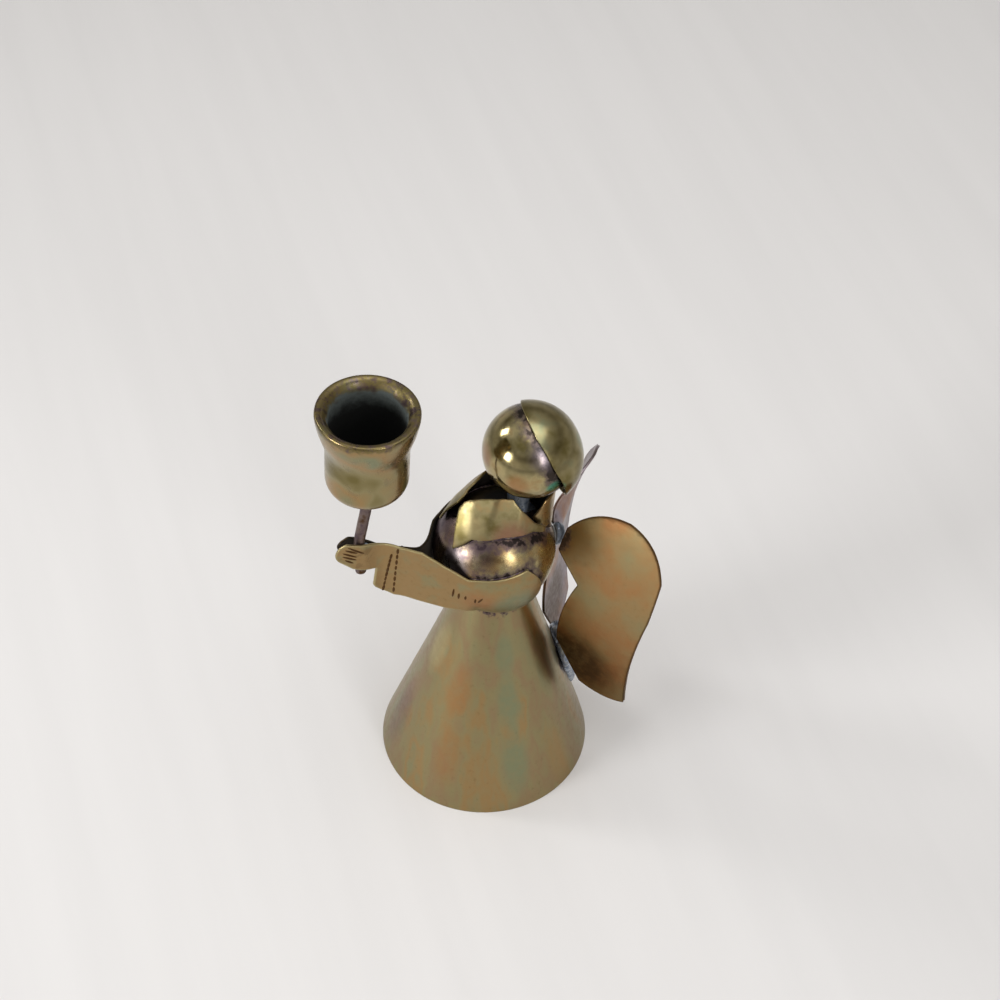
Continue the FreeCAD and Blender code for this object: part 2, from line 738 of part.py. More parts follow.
def cut(doc, name, base, tools):
    """Cut a piece by one tool after another, and give the last cut the piece's name."""
    for number, tool in enumerate(tools, start=1):
        last = number == len(tools)
        piece = doc.addObject("Part::Cut", name if last else f"{name}_step_{number}")
        piece.Base = base
        piece.Tool = tool
        base = piece
    base.Label = name
    return base


def make_neck(doc):
    """Short pin whose ends fit the torso ball and the head ball."""
    pin = doc.addObject("Part::Cylinder", "neck_blank")
    bind(pin, "Radius", at("neck_radius"))
    bind(pin, "Height", f"{at('neck_rise')} + 2.5 * {at('neck_radius')}")
    place(pin, back=NECK_BACK, up=f"{NECK_FOOT} - {at('neck_radius')}")
    torso = ball_tool(
        doc,
        "neck_torso_seat",
        f"{at('ball_radius')} + {at('seam_gap')}",
        at("figure_lean"),
        BALL_LEVEL,
    )
    head = ball_tool(
        doc,
        "neck_head_seat",
        f"{at('head_radius')} + {at('seam_gap')}",
        HEAD_BACK,
        HEAD_LEVEL,
    )
    return cut(doc, "neck_post", pin, [torso, head])


def sleeve_stations(read, hand):
    """Stations of an arm's sheet from the fingertips to behind the torso.

    Each one is a point of the sheet's middle in plan, its outward direction and how far
    the sheet bends round the torso there, from 0 for an upright sheet to 1. The left
    sleeve runs straight to where it touches the ball, the right one keeps to the middle
    and turns out in front of the torso.
    """
    centre = read("figure_lean")
    hug = read("ball_radius") + read("seam_gap") + read("sheet_gauge") / 2
    apart = read("rod_radius") + read("seam_gap") + read("sheet_gauge") / 2
    pinch = read("sheet_gauge") / 2 + read("seam_gap")
    rod = centre - read("rod_reach")
    half_hand = read("hand_length") / 2
    start = rod + 1.5 * half_hand
    spots = [
        (FreeCAD.Vector(apart, rod - 2 * half_hand, 0), 0.0),
        (FreeCAD.Vector(apart, rod - half_hand, 0), 0.0),
        (FreeCAD.Vector(apart, rod, 0), 0.0),
        (FreeCAD.Vector(pinch, rod + half_hand, 0), 0.0),
    ]
    way = centre - start
    if hand == "left":
        spread = math.asin(hug / math.hypot(way, pinch))
        bearing = spread - math.atan2(pinch, way)
        length = math.sqrt(way**2 + pinch**2 - hug**2)
        for share, bend in ((0.06, 0.0), (0.35, 0.0), (0.65, 0.0), (0.88, 0.4)):
            run = FreeCAD.Vector(math.sin(bearing), math.cos(bearing), 0) * length * share
            spots.append((FreeCAD.Vector(pinch, start, 0) + run, bend))
        touch = math.pi / 2 - bearing
    else:
        touch = math.radians(RIGHT_SLEEVE_TOUCH)
        reach = way - hug * math.cos(touch)
        for along, aside in RIGHT_SLEEVE_SHARES:
            bend = max(0.0, (along - RIGHT_SLEEVE_SHARES[-3][0]) / along)
            spot = FreeCAD.Vector(aside * read("ball_radius"), start + reach * along, 0)
            off_axis = spot - FreeCAD.Vector(0, centre, 0)
            spot += off_axis * max(0.0, hug / off_axis.Length - 1)
            spots.append((spot, bend))
    last = math.radians(SLEEVE_LAST_TURN)
    count = 6
    for number in range(count):
        turn = touch + (last - touch) * number / (count - 1)
        out = FreeCAD.Vector(math.sin(turn), -math.cos(turn), 0)
        spots.append((FreeCAD.Vector(0, centre, 0) + out * hug, 1.0))
    stations = []
    for number, (spot, bend) in enumerate(spots):
        before = spots[max(number - 1, 0)][0]
        after = spots[min(number + 1, len(spots) - 1)][0]
        run = after - before
        outward = FreeCAD.Vector(run.y, -run.x, 0)
        outward.normalize()
        stations.append((spot, outward, bend))
    return stations


def sleeve_section(read, level, station, low, high):
    """Closed section of the sheet at one station."""
    spot, outward, bend = station
    half = read("sheet_gauge") / 2
    heights = [low + (high - low) * number / 4 for number in range(5)]
    sides = []
    for shift in (half, -half):
        points = []
        for height in heights:
            inward = bend * (height - level) ** 2 / (2 * read("sleeve_curve"))
            point = spot + outward * (shift - inward)
            points.append(FreeCAD.Vector(point.x, point.y, height))
        curve = Part.BSplineCurve()
        curve.interpolate(points)
        sides.append(curve.toShape())
    outer, inner = sides
    bottom = Part.makeLine(inner.valueAt(inner.FirstParameter), outer.valueAt(outer.FirstParameter))
    top = Part.makeLine(outer.valueAt(outer.LastParameter), inner.valueAt(inner.LastParameter))
    return Part.Wire([outer, top, inner, bottom])


def arm_outline(hand):
    """Side outline of one arm as corners and rounds."""
    short, late, sink = HAND_OFFSET_SHARES[hand]
    cuff = f"({ROD_FRONT} + {at('hand_length')} * (0.36 + {late}))"
    tip = f"({ROD_FRONT} - {at('hand_length')} * (0.64 - {short}))"
    arm_top = f"({HAND_BOTTOM} + {at('hand_height')})"
    hand_top = f"({arm_top} - {at('hand_height')} * {sink})"
    cuff_bottom = f"({HAND_BOTTOM} - {at('cuff_drop')})"
    sleeve_low = f"({BALL_LEVEL} - {at('sleeve_sag')})"
    sleeve_high = f"({BALL_LEVEL} + {at('sleeve_rise')})"
    elbow = f"({at('figure_lean')} - {at('ball_radius')} * 0.68)"
    rear = f"({at('figure_lean')} + {at('sleeve_wrap')})"
    elbow_run, elbow_climb = ELBOW_TOP_SHARES[hand]
    corners = [
        (cuff, HAND_BOTTOM),
        (f"{cuff} - {at('cuff_drop')} * 0.05", f"{HAND_BOTTOM} - {at('cuff_drop')} * 0.75"),
        (f"{cuff} + {at('cuff_drop')} * 0.10", cuff_bottom),
        (f"{cuff} + {at('cuff_drop')} * 0.5", f"{cuff_bottom} - {at('cuff_drop')} * 0.40"),
        (elbow, f"{sleeve_low} + {at('sleeve_sag')} * 0.18"),
        (rear, sleeve_low),
        (rear, sleeve_high),
        (
            f"{at('figure_lean')} - {at('ball_radius')} * {elbow_run}",
            f"{BALL_LEVEL} + {at('sleeve_rise')} * {elbow_climb}",
        ),
    ]
    for run, fall in reversed(SLEEVE_TOP_SHARES[hand]):
        corners.append(
            (
                f"{cuff} + {at('hand_length')} * {run}",
                f"{arm_top} - {at('hand_height')} * {fall}",
            )
        )
    finger = len(corners) + 3
    corners += [
        (f"{cuff} - {at('hand_length')} * 0.13", f"{hand_top} - {at('hand_height')} * 0.21"),
        (f"{tip} + {at('hand_length')} * 0.56", f"{hand_top} - {at('hand_height')} * 0.09"),
        (f"{tip} + {at('hand_length')} * 0.29", hand_top),
        (f"{tip} + {at('hand_length')} * 0.11", f"{hand_top} - {at('hand_height')} * 0.08"),
        (f"{tip} + {at('hand_length')} * 0.14", f"{HAND_BOTTOM} + {at('hand_height')} * 0.49"),
        (f"{tip} + {at('hand_length')} * 0.40", f"{HAND_BOTTOM} + {at('hand_height')} * 0.26"),
        (f"{cuff} - {at('hand_length')} * 0.31", f"{HAND_BOTTOM} + {at('hand_height')} * 0.12"),
    ]
    cuff_round = bulge_radius(corners[1], corners[2], f"{at('cuff_drop')} * 0.06")
    rear_round = bulge_radius(corners[5], corners[6], at("sleeve_end"))
    tip_round = bulge_radius(
        corners[finger], corners[finger + 1], f"{at('hand_length')} * 0.12"
    )
    return corners, {1: (cuff_round, 1), 5: (rear_round, 1), finger: (tip_round, 1)}


def make_arm(doc, sheet, name, hand):
    """Sleeve and hand: one bent strip, cut to the outline that shows from the side."""

    def read(size):
        return float(sheet.get(size))

    level = value_of(sheet, BALL_LEVEL)
    low = level - read("sleeve_sag") - read("sheet_gauge")
    high = level + read("hand_lift") + read("hand_height") + read("sheet_gauge")
    sections = [
        sleeve_section(read, level, station, low, high)
        for station in sleeve_stations(read, hand)
    ]
    strip = doc.addObject("Part::Feature", f"{name}_strip")
    strip.Shape = Part.makeLoft(sections, True, False)
    strip.Placement = FreeCAD.Placement()
    outline = doc.addObject("Sketcher::SketchObject", f"{name}_outline")
    outline.Placement = FreeCAD.Placement(
        MIDDLE, FreeCAD.Rotation(FreeCAD.Vector(1, 1, 1), 120)
    )
    corners, rounds = arm_outline(hand)
    draw_outline(outline, corners, rounds)
    slab = doc.addObject("Part::Extrusion", f"{name}_slab")
    slab.Base = outline
    slab.DirMode = "Custom"
    slab.Dir = ACROSS
    slab.Solid = True
    bind(slab, "LengthFwd", f"2 * {at('ball_radius')}")
    bind(slab, "LengthRev", at("ball_radius"))
    arm = doc.addObject("Part::Common", name)
    arm.Base = strip
    arm.Tool = slab
    arm.Label = name
    return arm


def mirrored(doc, source, name):
    """The same piece on the figure's other side."""
    twin = doc.addObject("Part::Mirroring", name)
    twin.Source = source
    twin.Normal = ACROSS
    twin.Label = name
    return twin


def lump(doc, name, width, depth, height, back, up):
    """Rounded lump of solder, given by its half sizes."""
    blob = doc.addObject("Part::Ellipsoid", name)
    bind(blob, "Radius1", height)
    bind(blob, "Radius2", width)
    bind(blob, "Radius3", depth)
    place(blob, back=back, up=up)
    return blob


def collar_of_solder(doc, name, low, high, height, back, up, angle=None):
    """Round block of solder with a sloping side, before it is cut to what it wets."""
    cone = doc.addObject("Part::Cone", name)
    bind(cone, "Radius1", low)
    bind(cone, "Radius2", high)
    bind(cone, "Height", height)
    if angle is None:
        place(cone, back=back, up=up)
    else:
        place(cone, back=back, up=up, axis=ACROSS * -1, angle=angle)
    return cone


def make_solders(doc, pieces, core, seat):
    """Solder that joins the pieces, each lump cut to the pieces that it wets."""
    torso = ball_tool(
        doc,
        "solder_torso_seat",
        f"{at('ball_radius')}",
        at("figure_lean"),
        BALL_LEVEL,
    )
    head = ball_tool(doc, "solder_head_seat", at("head_radius"), HEAD_BACK, HEAD_LEVEL)
    wings = [pieces["left_wing"], pieces["right_wing"]]
    leg = at("solder_leg")
    top = lump(
        doc,
        "wing_top_lump",
        at("top_blob_width"),
        f"{at('wing_standoff')} + {leg}",
        at("top_blob_height"),
        WING_BACK,
        f"{BALL_LEVEL} - {at('wing_drop')}",
    )
    slope = f"({at('hem_radius')} - {at('waist_radius')}) / {at('skirt_height')}"
    low_share = f"{LOW_BLOB_LEVEL} / {at('skirt_height')}"
    skirt_back = (
        f"{at('figure_lean')} * {low_share} + {at('hem_radius')}"
        f" - {LOW_BLOB_LEVEL} * {slope}"
    )
    bottom = lump(
        doc,
        "wing_bottom_lump",
        at("low_blob_width"),
        at("low_blob_depth"),
        at("low_blob_height"),
        f"{skirt_back} + {at('low_blob_depth')} * 0.4",
        LOW_BLOB_LEVEL,
    )
    waist = collar_of_solder(
        doc,
        "waist_block",
        f"{at('waist_radius')} + {leg} * {slope} + {at('seam_gap')}",
        f"{at('waist_radius')} + {leg}",
        f"2 * {leg}",
        at("figure_lean"),
        f"{at('skirt_height')} - {leg}",
    )
    neck = collar_of_solder(
        doc,
        "neck_block",
        f"{at('neck_radius')} + {at('seam_gap')}",
        f"{at('neck_radius')} + 2 * {leg}",
        f"2 * {leg}",
        NECK_BACK,
        f"{NECK_FOOT} + {at('neck_rise')} - {leg}",
    )
    cup = collar_of_solder(
        doc,
        "cup_block",
        f"{at('rod_radius')} + {at('seam_gap')}",
        f"{at('rod_radius')} + 2 * {leg}",
        f"2 * {leg}",
        f"{ROD_FRONT} + {ROD_TOP_RUN} - {leg} * sin({at('rod_angle')})",
        f"{CUP_LEVEL} - {leg} * cos({at('rod_angle')})",
        at("rod_angle"),
    )
    grip = lump(
        doc,
        "hand_lump",
        at("rod_radius"),
        at("grip_solder"),
        at("grip_solder"),
        ROD_FRONT,
        f"{HAND_BOTTOM} + {at('hand_height')} * 0.5",
    )
    return [
        cut(doc, "wing_solder_top", top, [torso, *wings]),
        cut(doc, "wing_solder_bottom", bottom, [core, *wings]),
        cut(doc, "waist_solder", waist, [core, torso]),
        cut(doc, "neck_solder", neck, [head, pieces["neck_post"]]),
        cut(doc, "cup_solder", cup, [seat, pieces["stem_rod"]]),
        cut(doc, "hand_solder", grip, [pieces["stem_rod"]]),
    ]


def check(doc):
    """Stop if any object of the document failed or is empty."""
    for item in doc.Objects:
        if "Invalid" in item.State or "Error" in item.State:
            raise RuntimeError(f"{item.Label} failed: {item.State}")


def export(pieces):
    """Write each piece to its own file."""
    os.makedirs("parts", exist_ok=True)
    for name, piece in pieces.items():
        shape = piece.Shape
        if shape.isNull() or not shape.isValid():
            raise RuntimeError(f"{name} has no valid shape")
        shape.exportStep(f"parts/{name}.step")
        print(f"{name}: {len(shape.Solids)} solid, volume {shape.Volume:.2f}")


def main():
    """Build every piece and write the files."""
    doc = FreeCAD.newDocument("angel_candle_holder")
    sheet = make_sheet(doc)
    seat = make_cup_seat(doc)
    core = make_skirt_core(doc)
    made = [
        make_skirt(doc),
        make_torso(doc),
        make_cape(doc),
        make_collar(doc),
        make_neck(doc),
        make_head(doc),
        make_hair(doc),
        make_wing(doc, "left_wing", at("wing_drop"), at("wing_angle")),
        make_arm(doc, sheet, "left_arm", "left"),
        make_cup(doc),
        make_rod(doc, seat),
    ]
    pieces = {piece.Label: piece for piece in made}
    far_wing = make_wing(doc, "far_wing", at("far_wing_drop"), at("far_wing_angle"))
    far_arm = make_arm(doc, sheet, "far_arm", "right")
    pieces["right_cape"] = mirrored(doc, pieces["left_cape"], "right_cape")
    pieces["right_wing"] = mirrored(doc, far_wing, "right_wing")
    pieces["right_arm"] = mirrored(doc, far_arm, "right_arm")
    doc.recompute()
    for piece in make_solders(doc, pieces, core, seat):
        pieces[piece.Label] = piece
    doc.recompute()
    check(doc)
    export(pieces)


main()
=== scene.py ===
import math

import bpy
from mathutils import Matrix, Vector, noise
from mathutils.bvhtree import BVHTree
from mathutils.geometry import delaunay_2d_cdt
from mathutils.kdtree import KDTree


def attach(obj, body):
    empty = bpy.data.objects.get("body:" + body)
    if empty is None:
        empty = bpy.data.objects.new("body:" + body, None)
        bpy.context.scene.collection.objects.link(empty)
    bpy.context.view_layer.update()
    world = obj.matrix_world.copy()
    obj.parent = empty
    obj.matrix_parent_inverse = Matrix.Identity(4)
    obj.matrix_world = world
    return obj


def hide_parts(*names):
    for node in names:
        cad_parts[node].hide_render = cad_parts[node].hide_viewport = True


bl_info = {
    "name": "Brass angel candle holder",
    "version": (1, 0, 0),
    "blender": (4, 5, 0),
    "location": "3D View > Sidebar > Angel",
    "description": "Builds a small soldered brass angel that holds one candle cup",
    "category": "Add Mesh",
}

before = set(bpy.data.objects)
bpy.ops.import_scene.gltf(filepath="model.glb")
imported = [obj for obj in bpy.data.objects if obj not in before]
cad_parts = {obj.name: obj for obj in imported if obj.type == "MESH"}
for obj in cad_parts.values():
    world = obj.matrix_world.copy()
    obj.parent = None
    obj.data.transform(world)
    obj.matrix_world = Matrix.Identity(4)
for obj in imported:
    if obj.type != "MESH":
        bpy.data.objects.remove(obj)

MM = 0.001
BODY = "root"
UP = Vector((0, 0, 1))

# Radius in metres under which a point of a profile counts as being on the axis.
ON_AXIS = 1e-7

# Setting of a node that maps a range onto another, clamped and easing in and out.
EASED = {"interpolation_type": "SMOOTHSTEP"}


def linear(code):
    """Turn an sRGB hex colour into linear red, green and blue."""
    parts = [int(code[k:k + 2], 16) / 255 for k in (1, 3, 5)]
    return tuple(p / 12.92 if p <= 0.04045 else ((p + 0.055) / 1.055) ** 2.4 for p in parts)


def length(name, description, millimetres):
    """A length property, written in millimetres and kept in metres."""
    return bpy.props.FloatProperty(
        name=name, description=description, default=millimetres * MM, unit="LENGTH", precision=5
    )


def turn(name, description, degrees):
    """An angle property, written in degrees."""
    return bpy.props.FloatProperty(
        name=name, description=description, default=math.radians(degrees), subtype="ANGLE"
    )


def colour(name, description, code):
    """A colour property, written as sRGB hex."""
    return bpy.props.FloatVectorProperty(
        name=name, description=description, default=linear(code), size=3, min=0, max=1, subtype="COLOR"
    )


# Outline of a wing: shares of its span from the root and of its length over the root, with
# the bulge of the side that follows as a share of the span.
WING_OUTLINE_SHARES = (
    (0.03, -0.063, 0.0),
    (0.065, 0.047, 0.075),
    (0.58, 0.186, 0.085),
    (0.965, 0.010, 0.006),
    (0.925, -0.197, -0.025),
    (0.755, -0.769, 0.055),
    (0.31, -0.791, 0.0),
    (0.10, -0.560, 0.038),
    (0.26, -0.184, 0.0),
)

# Cape half on its cone, in shares of the lower radius behind the axis and of the cone's
# height: its lower edge from the front corner, and back along its neckline. The right half's
# lower edge lies closer to the torso.
LEFT_CAPE_LOWER_SHARES = (
    (-0.704, 0.257),
    (-0.627, 0.368),
    (-0.533, 0.396),
    (-0.44, 0.428),
    (-0.237, 0.497),
    (0.011, 0.550),
    (0.298, 0.560),
    (0.53, 0.50),
)
CAPE_NECKLINE_SHARES = (
    (0.53, 0.58),
    (0.298, 0.664),
    (0.163, 0.745),
    (0.041, 0.819),
    (-0.072, 0.883),
    (-0.164, 0.945),
    (-0.329, 0.924),
    (-0.477, 0.870),
    (-0.590, 0.814),
    (-0.703, 0.732),
)
RIGHT_CAPE_LOWER_SHARES = (
    (-0.704, 0.16),
    (-0.55, 0.26),
    (-0.34, 0.335),
    (-0.17, 0.385),
    (0.0, 0.415),
    (0.17, 0.435),
    (0.34, 0.445),
    (0.53, 0.445),
)

# Front edge of a cape half from top to bottom: shares of the V's half width and of the height.
CAPE_FRONT_SHARES = ((0.204, 0.678), (0.213, 0.586), (0.67, 0.405), (1.078, 0.215), (1.204, 0.112))

# Creases of a cape half: azimuth in degrees at the foot and at the top of its cone.
CAPE_CREASES = ((37, 13), (62, 19), (66, 54), (98, 88), (132, 126))

# Collar from the side, one half from its foot over the front point to the back of its rim:
# shares of the rim's diameter behind the axis and of the height.
COLLAR_OUTLINE_SHARES = ((0.22, 0.04), (0.045, 0.32), (-0.074, 0.53), (0.19, 0.895), (0.42, 1.00))

# Upper edge of a sleeve from the cuff to the elbow: shares of the hand's length behind the
# cuff and of the hand's height under its top.
SLEEVE_TOP_SHARES = {
    "left": ((0.16, 0.34), (0.60, 0.47), (1.05, 0.47)),
    "right": ((0.16, 0.49), (0.60, 0.64), (1.05, 0.80)),
}

# Elbow end of that edge: shares of the ball's radius and of the sleeve's rise.
ELBOW_TOP_SHARES = {"left": (0.68, 0.70), "right": (0.78, 0.95)}

# How much shorter and lower the right hand is: shares of the hand's length and height.
HAND_OFFSET_SHARES = {"left": (0.0, 0.0, 0.0), "right": (0.13, 0.10, 0.13)}

# Plan of the right sleeve up to the torso: shares of the way there and of the ball's radius.
RIGHT_SLEEVE_SHARES = (
    (0.226, 0.00), (0.40, -0.01), (0.52, 0.03), (0.618, 0.11), (0.719, 0.245), (0.809, 0.40), (0.889, 0.54)
)

# Lip of the cup from the outside over the top to the bore: shares of the flare from the
# outer wall and of the cup's height below its top.
LIP_SHARES = (
    (0.0, -0.49),
    (0.07, -0.425),
    (0.24, -0.355),
    (0.47, -0.28),
    (0.70, -0.20),
    (0.88, -0.12),
    (0.985, -0.055),
    (0.985, -0.022),
    (0.86, -0.003),
    (0.60, -0.001),
    (0.30, -0.012),
    (0.04, -0.036),
    (-0.20, -0.075),
    (-0.31, -0.12),
    (-0.323, -0.18),
)

# Engraved strokes on a hand and sleeve: each a start and an end, as shares of the hand's
# length behind the fingertips and of its height over its lower edge.
FINGER_STROKES_SHARES = (
    ((0.28, 0.96), (0.74, 0.60)),
    ((0.22, 0.88), (0.57, 0.68)),
    ((0.15, 0.81), (0.55, 0.57)),
    ((0.14, 0.71), (0.54, 0.49)),
    ((0.20, 0.59), (0.45, 0.42)),
)
STITCH_LINES_SHARES = (((1.39, 0.25), (1.14, -0.75)), ((1.55, 0.42), (1.39, -0.94)))
ELBOW_STROKES_SHARES = (
    ((2.70, -0.29), (2.65, -0.61)),
    ((2.80, -0.40), (2.78, -0.63)),
    ((2.94, -0.45), (2.92, -0.61)),
    ((3.14, -0.48), (3.13, -0.67)),
    ((3.30, -0.42), (3.19, -0.64)),
)


class AngelFigure(bpy.types.PropertyGroup):
    """Sizes of the skirt, torso, head and neck."""

    hem_radius: length("Hem radius", "Outer radius of the skirt where it stands", 19.8)
    skirt_height: length("Skirt height", "Height of the skirt's top rim", 44.2)
    waist_radius: length("Waist radius", "Outer radius of the skirt's top rim", 5.95)
    lean: length("Lean", "How far the waist lies behind the hem's centre", 2.2)
    ball_radius: length("Torso radius", "Outer radius of the torso ball", 11.0)
    foot_opening: length("Torso opening", "Radius of the torso's lower opening", 4.4)
    vent_radius: length("Vent radius", "Radius of the vents in both balls", 1.3)
    neck_setback: length("Neck setback", "How far the neck lies behind the torso's axis", 4.5)
    neck_radius: length("Neck radius", "Radius of the neck post", 2.2)
    neck_rise: length("Neck rise", "Height of the head's underside over the neck's foot", 4.5)
    head_setback: length("Head setback", "How far the head lies behind the neck", 2.0)
    head_radius: length("Head radius", "Outer radius of the head ball", 8.3)
    hair_edge: length("Hair edge", "How far the hair's edge lies behind the head's centre", 1.6)
    hair_tilt: turn("Hair tilt", "Tilt of the hair cap", 17.0)
    hair_bow: length("Hair bow", "How far the hair's edge bows back at the sides", 0.9)
    hair_drape: length("Hair drape", "How far the hair stands off low at the back", 1.15)
    gauge: length("Sheet gauge", "Wall of the sheet", 0.45)
    seam: length("Seam", "Film of solder between two pieces", 0.05)
    edge_round: length("Edge round", "Rounding of the cut edges", 0.11)
    waviness: length("Waviness", "Depth of the soft dents of hand work", 0.05)


class AngelCape(bpy.types.PropertyGroup):
    """Sizes of the cape and the collar."""

    height: length("Cape height", "Height of the cape's cone", 15.2)
    hem_radius: length("Cape hem radius", "Lower radius of the cape's cone", 11.76)
    rim_radius: length("Cape rim radius", "Upper radius of the cape's cone", 7.1)
    tilt: turn("Cape tilt", "Lean of the cape's axis to the back", 19.0)
    advance: length("Cape advance", "How far the cone starts in front of the axis", 0.73)
    lift: length("Cape lift", "Height of the cone's start over the torso's centre", 1.81)
    inset: length("Cape inset", "How far each half's axis lies past the middle", 2.82)
    swell: length("Cape swell", "How far the cone's side stands out from straight", 1.0)
    split: length("Cape split", "Half width of the V front", 3.2)
    crease_blend: bpy.props.FloatProperty(
        name="Crease blend",
        description="How flat the cape is between its creases, from 0 to 1",
        default=0.85,
    )
    collar_setback: length("Collar setback", "How far the collar's axis lies back", 6.3)
    collar_radius: length("Collar radius", "Outer radius of the collar's foot", 4.1)
    collar_flare: length("Collar flare", "How much wider the collar's rim is", 0.9)
    collar_height: length("Collar height", "Height of the collar", 9.7)
    collar_sink: length("Collar sink", "How far the collar's foot lies under the torso's top", 5.7)


class AngelWings(bpy.types.PropertyGroup):
    """Sizes of the wings."""

    gauge: length("Wing gauge", "Wall of the wings", 0.5)
    span: length("Wing span", "Width of one wing from its root", 22.4)
    length: length("Wing length", "Length that the wing's outline is drawn to", 44.6)
    bow: length("Wing bow", "Radius that the wings are bent to", 72.5)
    belly: length("Wing belly", "Depth of the bend's foremost line", 20.8)
    standoff: length("Wing standoff", "Gap between the torso and the wings' roots", 0.95)
    root_gap: length("Root gap", "Distance of each root from the middle", 0.4)
    left_drop: length("Left drop", "How far the left root lies under the torso's centre", 0.73)
    right_drop: length("Right drop", "How far the right root lies under the centre", 1.98)
    right_twist: length("Right twist", "How far the right wing's root side is bent forward", 4.8)
    left_angle: turn("Left angle", "Angle between the left wing and straight back", 53.8)
    right_angle: turn("Right angle", "Angle between the right wing and straight back", 55.6)


class AngelArms(bpy.types.PropertyGroup):
    """Sizes of the sleeves, the hands and the rod between them."""

    rod_radius: length("Rod radius", "Radius of the rod", 0.98)
    rod_grip: length("Rod grip", "Length of the rod's upright lower end", 7.15)
    rod_angle: turn("Rod angle", "Bend of the rod over the hands", 11.5)
    rod_bend_radius: length("Rod bend radius", "Radius of that bend", 6.0)
    rod_reach: length("Rod reach", "Distance of the rod from the torso's axis", 24.62)
    rod_upper: length("Rod upper end", "Length of the rod's leaning upper end", 13.2)
    rod_drop: length("Rod drop", "How far the rod stands out under the hands", 0.5)
    hand_height: length("Hand height", "Height of a hand", 8.75)
    hand_length: length("Hand length", "Length of a hand", 7.3)
    hand_lift: length("Hand lift", "Height of the hand's lower edge over the centre", 2.7)
    cuff_drop: length("Cuff drop", "How far the cuff reaches below the hand", 5.9)
    sleeve_sag: length("Sleeve sag", "Depth of the sleeve's lower edge", 7.6)
    sleeve_rise: length("Sleeve rise", "Height of the sleeve's upper edge", 4.0)
    sleeve_wrap: length("Sleeve wrap", "How far the sleeve runs back", 2.7)
    sleeve_end: length("Sleeve end", "Bulge of the sleeve's round rear end", 2.8)
    sleeve_curve: length("Sleeve curve", "Upright radius where it hugs the torso", 13.0)
    last_turn: turn("Last turn", "Azimuth at which the sheet ends", 150.0)
    right_touch: turn("Right touch", "Azimuth at which the right sleeve meets the ball", 44.0)


class AngelCup(bpy.types.PropertyGroup):
    """Sizes of the candle cup."""

    height: length("Cup height", "Height of the cup", 18.0)
    bore: length("Cup bore", "Radius of the bore", 6.6)
    wall: length("Cup wall", "Wall of the cup", 0.55)
    floor: length("Cup floor", "Floor of the cup", 0.8)
    corner: length("Cup corner", "Outer radius of the lower corner", 3.2)
    lip_radius: length("Lip radius", "Outer radius of the lip", 8.85)
    tilt: turn("Cup tilt", "Lean of the cup towards the figure", 3.0)
    offset: length("Cup offset", "How far the cup lies in front of the rod's end", 0.7)


class AngelFinish(bpy.types.PropertyGroup):
    """Colours of the metals and of the stage."""

    olive: colour("Olive brass", "Aged brass, the main tone", "#928762")
    tan: colour("Tan brass", "Warmer patches of aged brass", "#9c8158")
    green: colour("Green tarnish", "Cool green bands", "#848667")
    umber: colour("Umber brass", "Darker olive brass", "#73683f")
    # The orange tone is also a painted reflection low on the head ball.
    orange: colour("Orange tarnish", "Copper-orange patches", "#a2754b")
    pink: colour("Pink tarnish", "Copper-pink bands", "#96715a")
    # The bright tone is also painted highlights: spots on the skirt and the cape, and lines along the near
    # arm's edges and the hair's rim.
    bright: colour("Bright brass", "Polished brass", "#ab9d73")
    # The brown tone is also a painted reflection: the large patch low on each wing.
    brown: colour("Brown tarnish", "Dark brown heat tarnish", "#4a3219")
    violet: colour("Violet stain", "Heat stain beside the solder", "#56474f")
    # The dark tone is also painted shade: on the inner faces of the cape, collar and sleeves, along the
    # far arm's edges, and on the torso's top and the head's underside.
    dark: colour("Dark stain", "Flux and dirt in the creases", "#1d1a19")
    engraved: colour("Engraved lines", "Brown-black oxide in the engraved lines", "#4a2f0c")
    haze: colour("Flux haze", "Pale lilac film that the flux left", "#8d8389")
    verdigris: colour("Verdigris", "Green corrosion", "#3f8f74")
    # Also painted shade: the cup's bore goes black with depth.
    soot: colour("Soot", "Soot in the cup", "#0e0f0d")
    ash: colour("Ash", "Gray-green film over the soot", "#5d6462")
    solder: colour("Solder", "Soft solder", "#b4bcc6")
    solder_dark: colour("Dark solder", "Oxidised solder", "#4d535c")
    solder_blue: colour("Blue solder", "Heat-blued film on the solder", "#7f8ca0")
    rod: colour("Rod", "Heat-stained rod", "#73645f")
    floor: colour("Floor", "Pale table top", "#dbd9d8")


class AngelStage(bpy.types.PropertyGroup):
    """Camera and light."""

    focal: bpy.props.FloatProperty(
        name="Focal length", description="Lens in millimetres on a 36 mm sensor", default=82.8
    )
    floor_size: length("Floor size", "Side of the table top", 3000.0)


def props(*names):
    """The add-on's groups of settings with these names, or the only one asked for."""
    groups = [getattr(bpy.context.scene, f"angel_{name}") for name in names]
    return groups if len(groups) > 1 else groups[0]


def ball_level():
    """Height of the torso's centre: the ball sits in the skirt's rim."""
    figure = props("figure")
    seat = math.sqrt(figure.ball_radius**2 - (figure.waist_radius - figure.gauge) ** 2)
    return figure.skirt_height + seat


def neck_foot():
    """Point where the neck stands on the torso."""
    figure = props("figure")
    rise = math.sqrt(figure.ball_radius**2 - figure.neck_setback**2)
    return Vector((0, figure.lean + figure.neck_setback, ball_level() + rise))


def head_centre():
    """Centre of the head ball."""
    figure = props("figure")
    return neck_foot() + Vector((0, figure.head_setback, figure.neck_rise + figure.head_radius))


def rod_foot():
    """Lower end of the rod."""
    figure, arms = props("figure", "arms")
    return Vector((0, figure.lean - arms.rod_reach, ball_level() + arms.hand_lift - arms.rod_drop))


